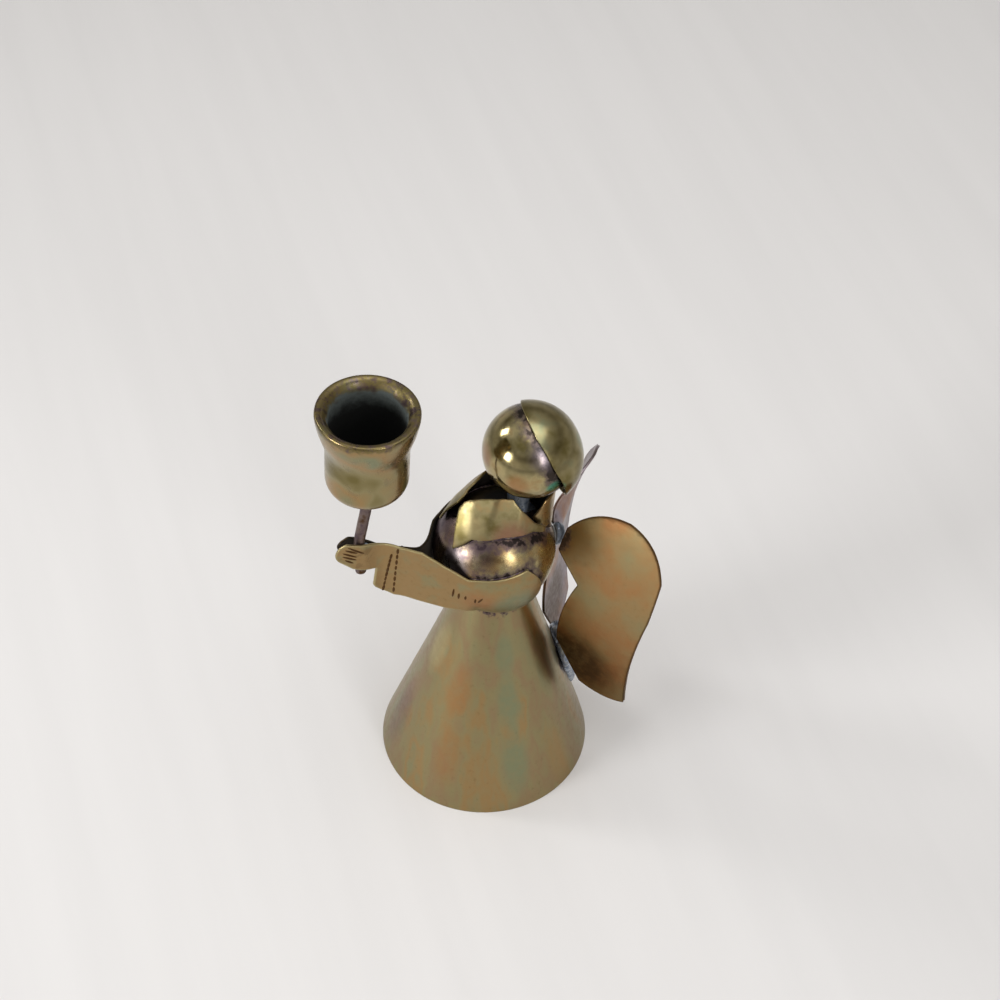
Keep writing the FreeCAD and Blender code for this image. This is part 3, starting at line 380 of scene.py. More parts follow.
def rod_top():
    """Upper end of the rod, under the cup."""
    arms = props("arms")
    sine = math.sin(arms.rod_angle)
    cosine = math.cos(arms.rod_angle)
    back = arms.rod_bend_radius * (1 - cosine) + arms.rod_upper * sine
    climb = arms.rod_grip + arms.rod_bend_radius * sine + arms.rod_upper * cosine
    return rod_foot() + Vector((0, back, climb))


def ripple(point, size, seed):
    """Smooth noise between -1 and 1 with features of a given size."""
    return noise.noise(point / size + Vector((seed, seed * 0.7, -seed)))


def arc_profile(start, finish, bulge, steps):
    """Points after start up to finish along an arc that stands a bulge to the right."""
    chord = Vector(finish) - Vector(start)
    side = Vector((chord.y, -chord.x)).normalized()
    points = []
    for number in range(1, steps + 1):
        share = number / steps
        lift = 4 * bulge * share * (1 - share)
        points.append(Vector(start) + chord * share + side * lift)
    return points


def round_corners(points, radius, steps=4):
    """Round the corners of a closed outline, less where its sides are short."""
    rounded = []
    count = len(points)
    for number, corner in enumerate(points):
        before = points[number - 1] - corner
        after = points[(number + 1) % count] - corner
        opening = before.angle(after, math.pi)
        if opening > math.radians(170):
            rounded.append(corner.copy())
            continue
        room = min(before.length, after.length) * 0.45
        cut = min(radius / math.tan(opening / 2), room)
        first = corner + before.normalized() * cut
        last = corner + after.normalized() * cut
        for step in range(steps + 1):
            share = step / steps
            inner = first.lerp(corner, share)
            outer = corner.lerp(last, share)
            rounded.append(inner.lerp(outer, share))
    return rounded


def resample(points, step):
    """Spread points along a closed outline about a step apart, keeping its corners."""
    spread = []
    for number, start in enumerate(points):
        finish = points[(number + 1) % len(points)]
        run = (finish - start).length
        if run < step * 0.05:
            continue
        parts = max(1, round(run / step))
        for part in range(parts):
            spread.append(start.lerp(finish, part / parts))
    return spread


def inside(point, outline):
    """Tell whether a point of the plane lies in a closed outline."""
    held = False
    for number, start in enumerate(outline):
        finish = outline[number - 1]
        if (start.y > point.y) != (finish.y > point.y):
            cross = (finish.x - start.x) * (point.y - start.y) / (finish.y - start.y) + start.x
            if point.x < cross:
                held = not held
    return held


def fill_outline(outline, step):
    """Mesh a closed outline with even triangles; the outline's points come first."""
    tree = KDTree(len(outline))
    for number, point in enumerate(outline):
        tree.insert(point.to_3d(), number)
    tree.balance()
    low = Vector((min(p.x for p in outline), min(p.y for p in outline)))
    high = Vector((max(p.x for p in outline), max(p.y for p in outline)))
    points = list(outline)
    rise = step * 0.866
    rows = int((high.y - low.y) / rise) + 1
    columns = int((high.x - low.x) / step) + 2
    for row in range(rows):
        for column in range(columns):
            shift = 0.5 * (row % 2)
            point = low + Vector(((column + shift) * step, row * rise))
            if tree.find(point.to_3d())[2] > step * 0.6 and inside(point, outline):
                points.append(point)
    scale = 1 / MM
    flat = [point * scale for point in points]
    ring = list(range(len(outline)))
    found, _, faces, sources, _, _ = delaunay_2d_cdt(flat, [], [ring], 1, 1e-6)
    order = {}
    for number, origin in enumerate(sources):
        for source in origin:
            order[source] = number
    spots = [Vector(point) / scale for point in found]
    return spots, [tuple(face) for face in faces], [order[number] for number in ring]


def facing(surface, spot, probe):
    """Normal of a bent sheet at a flat place, from places a probe away on all sides."""
    along = surface(spot + Vector((probe, 0))) - surface(spot - Vector((probe, 0)))
    across = surface(spot + Vector((0, probe))) - surface(spot - Vector((0, probe)))
    return along.cross(across).normalized()


def sheet_mesh(outline, surface, gauge, step, flip=False):
    """Bent sheet of even wall cut to an outline, with rounded cut edges.

    The outline lies in the plane; surface turns a point of the plane into a point in space.
    It gives the vertices, the faces and, for each vertex, its distance from the cut edge and
    whether it lies on the inner face.
    """
    spots, faces, ring = fill_outline(resample(outline, step), step)
    half = gauge / 2
    edge = props("figure").edge_round
    middles = [surface(spot) for spot in spots]
    normals = [facing(surface, spot, step * 0.4) for spot in spots]
    if flip:
        normals = [-normal for normal in normals]
        faces = [face[::-1] for face in faces]
        ring = ring[::-1]
    count = len(ring)
    outward = {}
    for number, spot in enumerate(ring):
        run = middles[ring[(number + 1) % count]] - middles[ring[number - 1]]
        outward[spot] = run.cross(normals[spot]).normalized()
    tree = KDTree(count)
    for number, spot in enumerate(ring):
        tree.insert(middles[spot], number)
    tree.balance()
    away = [tree.find(point)[2] for point in middles]
    front = []
    back = []
    for number, point in enumerate(middles):
        inset = outward[number] * edge if number in outward else Vector()
        front.append(point - inset + normals[number] * half)
        back.append(point - inset - normals[number] * half)
    size = len(middles)
    verts = front + back
    distances = away + away
    solid = list(faces) + [tuple(size + v for v in face[::-1]) for face in faces]
    slant = 1 - math.sqrt(0.5)
    levels = ((edge * slant, half - edge * slant), (0.0, half - edge))
    levels += ((0.0, edge - half), (edge * slant, edge * slant - half))
    for inset, height in levels:
        for spot in ring:
            verts.append(middles[spot] - outward[spot] * inset + normals[spot] * height)
            distances.append(0.0)
    bands = [list(ring)]
    bands += [[2 * size + level * count + n for n in range(count)] for level in range(4)]
    bands.append([size + spot for spot in ring])
    for upper, lower in zip(bands, bands[1:]):
        for number in range(count):
            following = (number + 1) % count
            solid.append((upper[following], upper[number], lower[number], lower[following]))
    inner = [0.0] * size + [1 * MM] * size + [0.0] * (len(verts) - 2 * size)
    return verts, solid, (distances, inner)


def lathe_mesh(profile, turns, place=None):
    """Turn a closed profile of radius and height round the upright axis."""
    verts = []
    faces = []
    rings = []
    for radius, height in profile:
        if radius < ON_AXIS:
            rings.append([len(verts)] * turns)
            verts.append(Vector((0, 0, height)))
            continue
        ring = []
        for number in range(turns):
            bearing = 2 * math.pi * number / turns
            ring.append(len(verts))
            verts.append(Vector((radius * math.cos(bearing), radius * math.sin(bearing), height)))
        rings.append(ring)
    for number, ring in enumerate(rings):
        following = rings[(number + 1) % len(rings)]
        for step in range(turns):
            after = (step + 1) % turns
            corners = [ring[step], ring[after], following[after], following[step]]
            face = [c for k, c in enumerate(corners) if c != corners[k - 1]]
            if len(set(face)) > 2:
                faces.append(tuple(face))
    if place:
        verts = [place(point) for point in verts]
    return verts, faces


def ball_profile(radius, wall, low, high, rows=72):
    """Closed profile of a ball's wall between a lower and an upper opening."""
    profile = []
    for reach, way in ((radius, 1), (radius - wall, -1)):
        start = -math.acos(low / reach)
        finish = math.acos(high / reach) if high > 0 else math.pi / 2
        face = []
        for number in range(rows + 1):
            climb = start + (finish - start) * number / rows
            face.append((reach * math.cos(climb), reach * math.sin(climb)))
        if high <= 0:
            face[-1] = (0.0, reach)
        profile += face[::way]
    return profile


def tube_mesh(path, radii, sides=20):
    """Round bar along a path, with its ends closed."""
    verts = []
    faces = []
    for number, (point, radius) in enumerate(zip(path, radii)):
        before = path[max(number - 1, 0)]
        after = path[min(number + 1, len(path) - 1)]
        turned = UP.rotation_difference((after - before).normalized())
        for side in range(sides):
            bearing = 2 * math.pi * side / sides
            spoke = Vector((radius * math.cos(bearing), radius * math.sin(bearing), 0))
            verts.append(point + turned @ spoke)
    for number in range(len(path) - 1):
        low = number * sides
        for side in range(sides):
            after = (side + 1) % sides
            faces.append((low + side, low + after, low + sides + after, low + sides + side))
    faces.append(tuple(range(sides))[::-1])
    faces.append(tuple(range(len(verts) - sides, len(verts))))
    return verts, faces


def node_tree_of(name):
    """Surface tree of one of the CAD nodes, for distances to it."""
    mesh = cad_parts[name].data
    points = [vertex.co.copy() for vertex in mesh.vertices]
    return BVHTree.FromPolygons(points, [tuple(p.vertices) for p in mesh.polygons])


def seam_distances(verts, neighbours):
    """Distance of each vertex from the nearest of some CAD nodes."""
    trees = [node_tree_of(name) for name in neighbours]
    far = 20 * MM
    distances = []
    for point in verts:
        nearest = far
        for tree in trees:
            gap = tree.find_nearest(point, nearest)[3]
            if gap is not None:
                nearest = gap
        distances.append(nearest)
    return distances


def put_attribute(mesh, name, values):
    """Keep one number for each vertex, in millimetres."""
    layer = mesh.attributes.new(name, "FLOAT", "POINT")
    layer.data.foreach_set("value", [value / MM for value in values])


def put_in_scene(name, data):
    """Make an object of a mesh, a lamp or a camera and link it to the scene."""
    made = bpy.data.objects.new(name, data)
    bpy.context.scene.collection.objects.link(made)
    return made


def settle(piece, material, stands_for=()):
    """Give a finished piece its material, its body and the nodes that it stands for."""
    if material is not None:
        piece.data.materials.clear()
        piece.data.materials.append(material)
    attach(piece, BODY)
    for node in stands_for:
        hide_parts(node)
    return piece


def make_piece(name, verts, faces, material, stands_for=(), near=(), edges=None):
    """Make a smooth piece that rides on the figure."""
    mesh = bpy.data.meshes.new(name)
    mesh.from_pydata([tuple(point) for point in verts], [], faces)
    mesh.validate()
    mesh.shade_smooth()
    mesh.set_sharp_from_angle(angle=math.radians(50))
    put_attribute(mesh, "seam", seam_distances(verts, near))
    distances, inner = edges or ([5 * MM] * len(verts), [0.0] * len(verts))
    put_attribute(mesh, "edge", distances)
    put_attribute(mesh, "inner", inner)
    return settle(put_in_scene(name, mesh), material, stands_for)


def add(tree, kind, sources=(), stops=(), **settings):
    """Add a node with its settings, the stops of its colour ramp and what its sockets get.

    The sources go by the sockets' names, or by their order. Each is a value, a linear
    colour, an output or a node, which gives its first output.
    """
    node = tree.nodes.new(kind)
    for key, value in settings.items():
        setattr(node, key, value)
    if stops:
        elements = node.color_ramp.elements
        while len(elements) < len(stops):
            elements.new(0.5)
        for element, (position, tone) in zip(elements, stops):
            element.position = position
            element.color = (*tone, 1.0)
    if not isinstance(sources, dict):
        sources = dict(enumerate(sources))
    for name, source in sources.items():
        socket = node.inputs[name]
        if isinstance(source, bpy.types.Node):
            source = source.outputs[0]
        if isinstance(source, bpy.types.NodeSocket):
            tree.links.new(source, socket)
        else:
            socket.default_value = (*source, 1.0) if socket.type == "RGBA" else source
    return node


def per_mm(millimetres):
    """Pattern scale on Object coordinates that gives features of a real size."""
    return 1 / (millimetres * MM)


def new_material(name):
    """Start a material, and give it, its tree and the place of each point of the object."""
    material = bpy.data.materials.new(name)
    material.use_nodes = True
    tree = material.node_tree
    tree.nodes.clear()
    return material, tree, add(tree, "ShaderNodeTexCoord").outputs["Object"]


def close_material(material, sockets):
    """End a material's tree in its surface shader, with what its sockets get."""
    tree = material.node_tree
    shader = add(tree, "ShaderNodeBsdfPrincipled", sockets)
    add(tree, "ShaderNodeOutputMaterial", {"Surface": shader})
    return material


def near_point(tree, place, centre, size, strength):
    """Soft mask round a point, of a radius in millimetres."""
    away = add(tree, "ShaderNodeVectorMath", (place, centre), operation="DISTANCE").outputs["Value"]
    away = add(tree, "ShaderNodeMath", (away, 1 / MM), operation="MULTIPLY")
    return add(tree, "ShaderNodeMapRange", (away, size * 0.35, size, strength, 0.0), **EASED)


def stained(tree, tint, tone, value, low, high, first, last):
    """Lay a tone over a tint, from a first to a last share while a value runs low to high."""
    mask = add(tree, "ShaderNodeMapRange", (value, low, high, first, last), **EASED)
    return add(tree, "ShaderNodeMix", {0: mask, 6: tint, 7: tone}, data_type="RGBA").outputs[2]


def brass(
    name,
    tones,
    patch=7.0,
    streak=1.0,
    rough=(0.24, 0.40),
    stain=1.0,
    stain_reach=1.6,
    edge_tarnish_and_light=0.5,
    edge_tarnish_and_light_tone=None,
    spots=(),
    soot=None,
    painted_inner_shade=0.0,
    grain=0.05,
):
    """Aged rolled brass, alloy of copper and zinc: satin from handling, with heat tarnish.

    The tones run through patches, stretched upright by the streak; the seam attribute
    brings the violet and black stains that soldering leaves beside a joint. Some spots and
    edge tones are painted highlights and painted reflections, and the shade masks lay painted shade.
    """
    finish = props("finish")
    material, tree, place = new_material(name)
    stretched = add(tree, "ShaderNodeMapping", {"Vector": place, "Scale": (1.0, 1.0, streak)})
    patches = add(
        tree,
        "ShaderNodeTexNoise",
        {"Vector": stretched, "Scale": per_mm(patch), "Detail": 3.0, "Roughness": 0.55},
    )
    count = len(tones)
    stops = [(0.30 + 0.40 * number / (count - 1), tone) for number, tone in enumerate(tones)]
    tint = add(tree, "ShaderNodeValToRGB", {0: patches}, stops)
    cloud = add(
        tree,
        "ShaderNodeTexNoise",
        {"Vector": place, "Scale": per_mm(1.1), "Detail": 5.0, "Roughness": 0.65},
    )
    tint = stained(tree, tint, finish.brown, cloud, 0.56, 0.80, 0.0, 0.22)
    seam = add(tree, "ShaderNodeAttribute", attribute_name="seam").outputs["Fac"]
    edge = add(tree, "ShaderNodeAttribute", attribute_name="edge").outputs["Fac"]
    broken = add(
        tree,
        "ShaderNodeTexNoise",
        {"Vector": place, "Scale": per_mm(1.7), "Detail": 4.0, "Roughness": 0.6},
    )
    wander = add(tree, "ShaderNodeMapRange", (broken, 0.3, 0.7, -0.9, 0.9), **EASED)
    reach = add(tree, "ShaderNodeMath", (seam, wander), operation="ADD")
    halo = add(tree, "ShaderNodeMapRange", (reach, 0.35, stain_reach, 0.85 * stain, 0.0), **EASED)
    tint = add(tree, "ShaderNodeMix", {0: halo, 6: tint, 7: finish.violet}, data_type="RGBA").outputs[2]
    tint = stained(tree, tint, finish.dark, reach, 0.0, 0.45, 0.85 * stain, 0.0)
    # Tone along the cut edges: brown tarnish unless another tone is given; the bright and dark tones that
    # some pieces give are a painted highlight and painted shade.
    tint = stained(tree, tint, edge_tarnish_and_light_tone or finish.brown, edge, 0.0, 0.35, edge_tarnish_and_light, 0.0)
    speckle = add(tree, "ShaderNodeMapRange", (broken, 0.35, 0.60, 0.74, 1.0), **EASED)
    # Spots of tone: most are tarnish and stains; some pieces lay painted highlights and painted
    # reflections as spots.
    for centre, size, tone, strength in spots:
        flat = Vector((centre.x, centre.y, centre.z * streak))
        mask = near_point(tree, stretched, flat, size, strength)
        mask = add(tree, "ShaderNodeMath", (mask, speckle), operation="MULTIPLY")
        tint = add(tree, "ShaderNodeMix", {0: mask, 6: tint, 7: tone}, data_type="RGBA").outputs[2]
    metal = 1.0
    dull = add(tree, "ShaderNodeMapRange", (cloud, 0.30, 0.70, rough[0], rough[1]), **EASED)
    # Painted shade: a mask round a point and the mask of the inner face darken the tint to the dark tone
    # and make it duller and less metallic.
    painted_shade_mask = None
    if soot:
        painted_shade_mask = near_point(tree, place, soot[0], soot[1], 1.0)
    if painted_inner_shade:
        inner = add(tree, "ShaderNodeAttribute", attribute_name="inner").outputs["Fac"]
        painted_shade_mask = add(tree, "ShaderNodeMath", (inner, painted_inner_shade), operation="MULTIPLY")
    if painted_shade_mask:
        tint = add(tree, "ShaderNodeMix", {0: painted_shade_mask, 6: tint, 7: finish.dark}, data_type="RGBA").outputs[2]
        metal = add(tree, "ShaderNodeMapRange", (painted_shade_mask, 0.0, 1.0, 1.0, 0.1), **EASED)
        dull = add(tree, "ShaderNodeMath", (dull, painted_shade_mask), operation="MAXIMUM")
    burnt = add(tree, "ShaderNodeMath", (halo, 0.16), operation="MULTIPLY")
    dull = add(tree, "ShaderNodeMath", (dull, burnt), operation="ADD", use_clamp=True)
    scratch_space = add(
        tree,
        "ShaderNodeMapping",
        {"Vector": place, "Rotation": (0.3, 0.2, 0.5), "Scale": (1.0, 0.07, 1.0)},
    )
    scratches = add(
        tree, "ShaderNodeTexNoise", {"Vector": scratch_space, "Scale": per_mm(0.16), "Detail": 2.0}
    )
    rubbed = add(
        tree, "ShaderNodeBump", {"Height": scratches, "Strength": grain * 2, "Distance": 0.02 * MM}
    )
    worn = add(
        tree,
        "ShaderNodeBump",
        {"Height": cloud, "Strength": grain, "Distance": 0.15 * MM, "Normal": rubbed},
    )
    sockets = {"Base Color": tint, "Metallic": metal, "Roughness": dull, "Normal": worn}
    return close_material(material, sockets)


def clouded(name, size, stops, rough, detail=4.0, dark=None, bump=None, **sockets):
    """Material whose tone, dullness and dents follow one cloud of a size in millimetres.

    The dark pair is two spots, each a place, a size and a strength, and the tone that they get.
    """
    material, tree, place = new_material(name)
    cloud = add(tree, "ShaderNodeTexNoise", {"Vector": place, "Scale": per_mm(size), "Detail": detail})
    tint = add(tree, "ShaderNodeValToRGB", {0: cloud}, stops)
    if dark:
        spots, tone = dark
        first, last = [near_point(tree, place, *spot) for spot in spots]
        mask = add(tree, "ShaderNodeMath", (first, last), operation="MAXIMUM")
        tint = add(tree, "ShaderNodeMix", {0: mask, 6: tint, 7: tone}, data_type="RGBA").outputs[2]
    sockets["Base Color"] = tint
    low, high, least, most = rough
    sockets["Roughness"] = add(tree, "ShaderNodeMapRange", (cloud, low, high, least, most), **EASED)
    if bump:
        sockets["Normal"] = add(
            tree, "ShaderNodeBump", {"Height": cloud, "Strength": 0.25, "Distance": bump * MM}
        )
    return close_material(material, sockets)


def soft_solder():
    """Soft solder, tin and lead: bright blue-gray metal that froze with a fine ripple."""
    figure, finish = props("figure", "finish")
    wings_joint = Vector((0.0, 14.5 * MM, ball_level() + 2 * MM))
    waist = Vector((0.0, figure.lean, figure.skirt_height))
    return clouded(
        "soft_solder",
        0.9,
        ((0.40, finish.solder), (0.62, finish.solder_blue), (0.95, finish.violet)),
        (0.3, 0.8, 0.26, 0.42),
        dark=(((wings_joint, 7.0, 0.9), (waist, 9.0, 0.8)), finish.solder_dark),
        bump=0.10,
        Metallic=0.6,
    )


def stained_rod():
    """Brass wire burnt by the torch: dull violet-gray oxide, paler where it was touched."""
    finish = props("finish")
    stops = ((0.30, finish.brown), (0.48, finish.rod), (0.70, finish.violet))
    rough = (0.3, 0.7, 0.34, 0.55)
    return clouded("burnt_brass_wire", 1.4, stops, rough, bump=0.08, Metallic=1.0)


def black_patina():
    """Engraved line blackened with oxide: dull, near black."""
    finish = props("finish")
    stops = ((0.35, finish.engraved), (0.75, finish.brown))
    sockets = {"Metallic": 0.1, "Specular IOR Level": 0.15}
    return clouded("blackened_engraving", 0.5, stops, (0.3, 0.7, 0.6, 0.6), 2.0, **sockets)


def flux_crease():
    """Burnt flux along a solder seam: violet-black glaze with a dull shine."""
    finish = props("finish")
    stops = ((0.30, finish.dark), (0.52, finish.violet), (0.72, finish.olive))
    return clouded("burnt_flux", 0.8, stops, (0.3, 0.7, 0.28, 0.5), Metallic=0.8)


def cup_brass():
    """Spun brass cup: satin olive outside, violet-brown lip, soot and painted shade inside going to black.
    """
    finish = props("finish")
    material, tree, place = new_material("spun_brass_soot_and_painted_shade")
    depth = add(tree, "ShaderNodeAttribute", attribute_name="depth").outputs["Fac"]
    cloud = add(
        tree,
        "ShaderNodeTexNoise",
        {"Vector": place, "Scale": per_mm(2.2), "Detail": 5.0, "Roughness": 0.65},
    )
    patches = add(tree, "ShaderNodeTexNoise", {"Vector": place, "Scale": per_mm(8.0), "Detail": 2.0})
    outside = add(
        tree,
        "ShaderNodeValToRGB",
        {0: patches},
        ((0.30, finish.umber), (0.42, finish.olive), (0.58, finish.tan), (0.72, finish.green)),
    )
    outside = stained(tree, outside, finish.violet, cloud, 0.55, 0.75, 0.0, 0.25)
    wander = add(tree, "ShaderNodeMapRange", (cloud, 0.3, 0.7, -0.7, 0.7), **EASED)
    level = add(tree, "ShaderNodeMath", (depth, wander), operation="ADD")
    stops = ((0.36, finish.violet), (0.50, finish.umber), (0.66, finish.violet))
    burnt = add(tree, "ShaderNodeValToRGB", {0: cloud}, stops)
    tint = stained(tree, outside, burnt, level, -1.7, -0.5, 0.0, 0.85)
    tint = stained(tree, tint, finish.ash, level, 0.9, 2.2, 0.0, 1.0)
    # Soot with painted shade of the deep bore: black, less metallic and duller with depth.
    tint = stained(tree, tint, finish.soot, level, 1.6, 6.0, 0.0, 1.0)
    metal = add(tree, "ShaderNodeMapRange", (level, 0.8, 2.8, 1.0, 0.2), **EASED)
    dull = add(tree, "ShaderNodeMapRange", (level, -1.0, 2.5, 0.24, 0.80), **EASED)
    uneven = add(tree, "ShaderNodeMapRange", (cloud, 0.3, 0.7, -0.05, 0.05), **EASED)
    dull = add(tree, "ShaderNodeMath", (dull, uneven), operation="ADD", use_clamp=True)
    bump = add(tree, "ShaderNodeBump", {"Height": cloud, "Strength": 0.12, "Distance": 0.15 * MM})
    sockets = {"Base Color": tint, "Metallic": metal, "Roughness": dull, "Normal": bump}
    return close_material(material, sockets)


def skirt_tones(finish):
    """Upright bands of tarnish on the skirt."""
    pale = tuple(0.6 * a + 0.4 * b for a, b in zip(finish.olive, finish.green))
    warm = tuple(0.6 * a + 0.4 * b for a, b in zip(finish.olive, finish.pink))
    return (pale, finish.olive, warm, finish.olive, finish.tan, pale)


class ANGEL_OT_skirt(bpy.types.Operator):
    """Roll the open cone of the skirt, with its lapped seam at the back"""

    bl_idname = "angel.skirt"
    bl_label = "Skirt"

    def execute(self, context):
        """Build the skirt."""
        figure, finish = props("figure", "finish")
        rise = figure.skirt_height
        edge = figure.edge_round
        slope = (figure.hem_radius - figure.waist_radius) / rise
        rows = 90
        profile = []
        for number in range(rows + 1):
            height = edge + (rise - 2 * edge) * number / rows
            profile.append((figure.hem_radius - slope * height, height))
        top = figure.waist_radius
        cut = 0.3 * edge
        profile += [
            (top - cut, rise - cut),
            (top - edge, rise),
            (top - figure.gauge + edge, rise),
            (top - figure.gauge + cut, rise - cut),
        ]
        for number in range(rows + 1):
            height = rise - edge - (rise - 2 * edge) * number / rows
            profile.append((figure.hem_radius - figure.gauge - slope * height, height))
        hem = figure.hem_radius
        profile += [
            (hem - figure.gauge + cut, cut),
            (hem - figure.gauge + edge, 0.0),
            (hem - edge, 0.0),
            (hem - cut, cut),
        ]
        lap = 1.1 * MM
        step = 0.16 * MM

        def place(point):
            radius = math.hypot(point.x, point.y)
            aside = math.atan2(point.x, point.y) * radius
            lift = step * max(0.0, 1 - (aside / lap) ** 4) if abs(aside) < lap else 0.0
            dent = figure.waviness * ripple(point, 11 * MM, 2.0)
            flat = Vector((point.x, point.y, 0)).normalized() * (lift + dent)
            fade = min(1.0, point.z / (3 * MM))
            flat.z = 0.0
            back = Vector((0, figure.lean * point.z / rise, 0))
            return point + back + flat * fade

        verts, faces = lathe_mesh(profile, 224, place)
        tones = skirt_tones(finish)
        material = brass(
            "rolled_brass_skirt",
            tones,
            patch=6.5,
            streak=0.22,
            rough=(0.29, 0.40),
            stain_reach=1.2,
            edge_tarnish_and_light=0.0,
            spots=tuple(
                (Vector(spot) * MM, size, tone, strength)
                for spot, size, tone, strength in (
                    ((16.6, 1.0, 10.0), 3.6, finish.green, 1.0),
                    ((12.4, 1.0, 23.7), 3.0, finish.green, 1.0),
                    ((9.2, 1.2, 33.8), 2.4, finish.green, 0.9),
                    ((8.2, -7.2, 25.6), 3.2, finish.orange, 0.6),
                    ((11.6, -10.9, 11.2), 3.8, finish.orange, 0.5),
                    # Painted highlight: a window's reflection laid as a bright spot on the skirt's front.
                    ((0.8, -8.7, 30.6), 3.2, finish.bright, 0.9),
                    ((-2.0, -15.0, 16.0), 3.6, finish.pink, 0.5),
                    ((15.0, 10.0, 7.0), 3.6, finish.tan, 0.7),
                    ((-2.0, -16.5, 12.0), 4.5, finish.violet, 0.35),
                )
            ),
            grain=0.04,
        )
        near = ("wing_solder_bottom", "waist_solder")
        make_piece("skirt_cone", verts, faces, material, ("skirt",), near)
        return {"FINISHED"}


class ANGEL_OT_torso(bpy.types.Operator):
    """Spin the torso ball"""

    bl_idname = "angel.torso"
    bl_label = "Torso"

    def execute(self, context):
        """Build the torso."""
        figure, finish = props("figure", "finish")
        centre = Vector((0, figure.lean, ball_level()))
        profile = ball_profile(figure.ball_radius, figure.gauge, figure.foot_opening, figure.vent_radius)

        def place(point):
            dent = 0.5 * figure.waviness * ripple(point, 9 * MM, 5.0)
            return centre + point + point.normalized() * dent

        verts, faces = lathe_mesh(profile, 192, place)
        material = brass(
            "polished_brass_torso",
            (finish.olive, finish.bright, finish.tan, finish.olive),
            patch=6.0,
            rough=(0.20, 0.32),
            stain_reach=2.4,
            edge_tarnish_and_light=0.0,
            spots=(
                (centre + Vector((-2.2, -8.8, 6.4)) * MM, 6.5, finish.violet, 0.9),
                (centre + Vector((4.9, -9.0, 3.8)) * MM, 4.2, finish.haze, 0.8),
                (centre + Vector((7.0, -4.9, 6.9)) * MM, 4.0, finish.violet, 0.7),
            ),
            # Painted shade: the ball's top darkened under the cape, the collar and the neck.
            soot=(centre + Vector((-1.0, 2.0, 13.5)) * MM, 9.5),
        )
        near = ("left_cape", "right_cape", "left_arm", "right_arm", "neck_post", "back_collar")
        make_piece("torso_ball", verts, faces, material, ("torso",), near)
        return {"FINISHED"}


def facet(bearing, share):
    """How far a sheet bent in flats stands out at an azimuth, as a share of its radius."""
    creases = [math.radians(low + (high - low) * share) for low, high in CAPE_CREASES]
    depth = 0.0
    softening = 0.045
    for offset in (-softening, 0.0, softening):
        seen = min(max(bearing + offset, creases[0]), creases[-1] - 1e-6)
        for first, last in zip(creases, creases[1:]):
            if first <= seen < last:
                depth += math.cos((last - first) / 2) / math.cos(seen - (first + last) / 2) / 3
                break
        else:
            depth += 1 / 3
    return depth


def cape_reference():
    """Radius on which the cape's azimuths are laid out flat."""
    cape = props("cape")
    return (cape.hem_radius + cape.rim_radius) / 2


def cape_radius(height):
    """Outer radius of the cape's cone at a height along its axis."""
    cape = props("cape")
    share = height / cape.height
    straight = cape.hem_radius + (cape.rim_radius - cape.hem_radius) * share
    return straight + 4 * cape.swell * share * (1 - share)


def cape_spot(run, climb):
    """Flat place of an outline point from its shares behind the axis and of the height."""
    cape = props("cape")
    height = climb * cape.height
    share = -run * cape.hem_radius / cape_radius(height)
    return Vector((math.acos(share) * cape_reference(), height))


def cape_surface(side):
    """Function that lifts a flat place onto one half of the cape."""
    figure, cape = props("figure", "cape")
    tilt = Matrix.Rotation(-cape.tilt, 3, "X")
    shift = Vector((-cape.inset, figure.lean - cape.advance, ball_level() + cape.lift))

    def surface(spot):
        bearing = spot.x / cape_reference()
        radius = cape_radius(spot.y)
        radius *= 1 - cape.crease_blend * (1 - facet(bearing, spot.y / cape.height))
        radius -= figure.gauge / 2
        local = Vector((radius * math.sin(bearing), -radius * math.cos(bearing), spot.y))
        point = tilt @ local + shift
        point.x *= side
        return point

    return surface


class ANGEL_OT_cape(bpy.types.Operator):
    """Bend and cut the two halves of the cape"""

    bl_idname = "angel.cape"
    bl_label = "Cape"

    def execute(self, context):
        """Build both cape halves."""
        figure, cape, finish = props("figure", "cape", "finish")
        reach = cape_reference()
        for side, name in ((1, "left_cape"), (-1, "right_cape")):
            lower = LEFT_CAPE_LOWER_SHARES if side > 0 else RIGHT_CAPE_LOWER_SHARES
            corners = [cape_spot(run, climb) for run, climb in lower + CAPE_NECKLINE_SHARES]
            for aside, climb in CAPE_FRONT_SHARES:
                height = climb * cape.height
                share = (cape.inset + cape.split * aside) / cape_radius(height)
                corners.append(Vector((math.asin(share) * cape_reference(), height)))
            outline = round_corners(corners, 0.35 * MM)
            surface = cape_surface(side)
            verts, faces, edges = sheet_mesh(outline, surface, figure.gauge, 0.42 * MM, flip=side < 0)
            material = brass(
                f"{name}_cut_brass",
                (finish.umber, finish.olive, finish.tan),
                patch=3.2,
                rough=(0.33, 0.44),
                stain=0.5,
                stain_reach=0.6,
                edge_tarnish_and_light=0.35,
                spots=tuple(
                    (
                        surface(Vector((math.radians(bearing) * reach, climb * cape.height))),
                        size,
                        tone,
                        strength,
                    )
                    for bearing, climb, size, tone, strength in (
                        (20, 0.40, 4.6, finish.umber, 1.0),
                        # Painted highlight: a bright spot on the cape's middle facet.
                        (46, 0.50, 3.0, finish.bright, 0.8),
                        (84, 0.50, 4.6, finish.pink, 0.9),
                    )
                ),
                # Painted shade on the cape's inner face.
                painted_inner_shade=0.95,
                grain=0.06,
            )
            near = ("neck_post", "left_arm", "right_arm")
            make_piece(f"{name}_flap", verts, faces, material, (name,), near, edges)
        return {"FINISHED"}


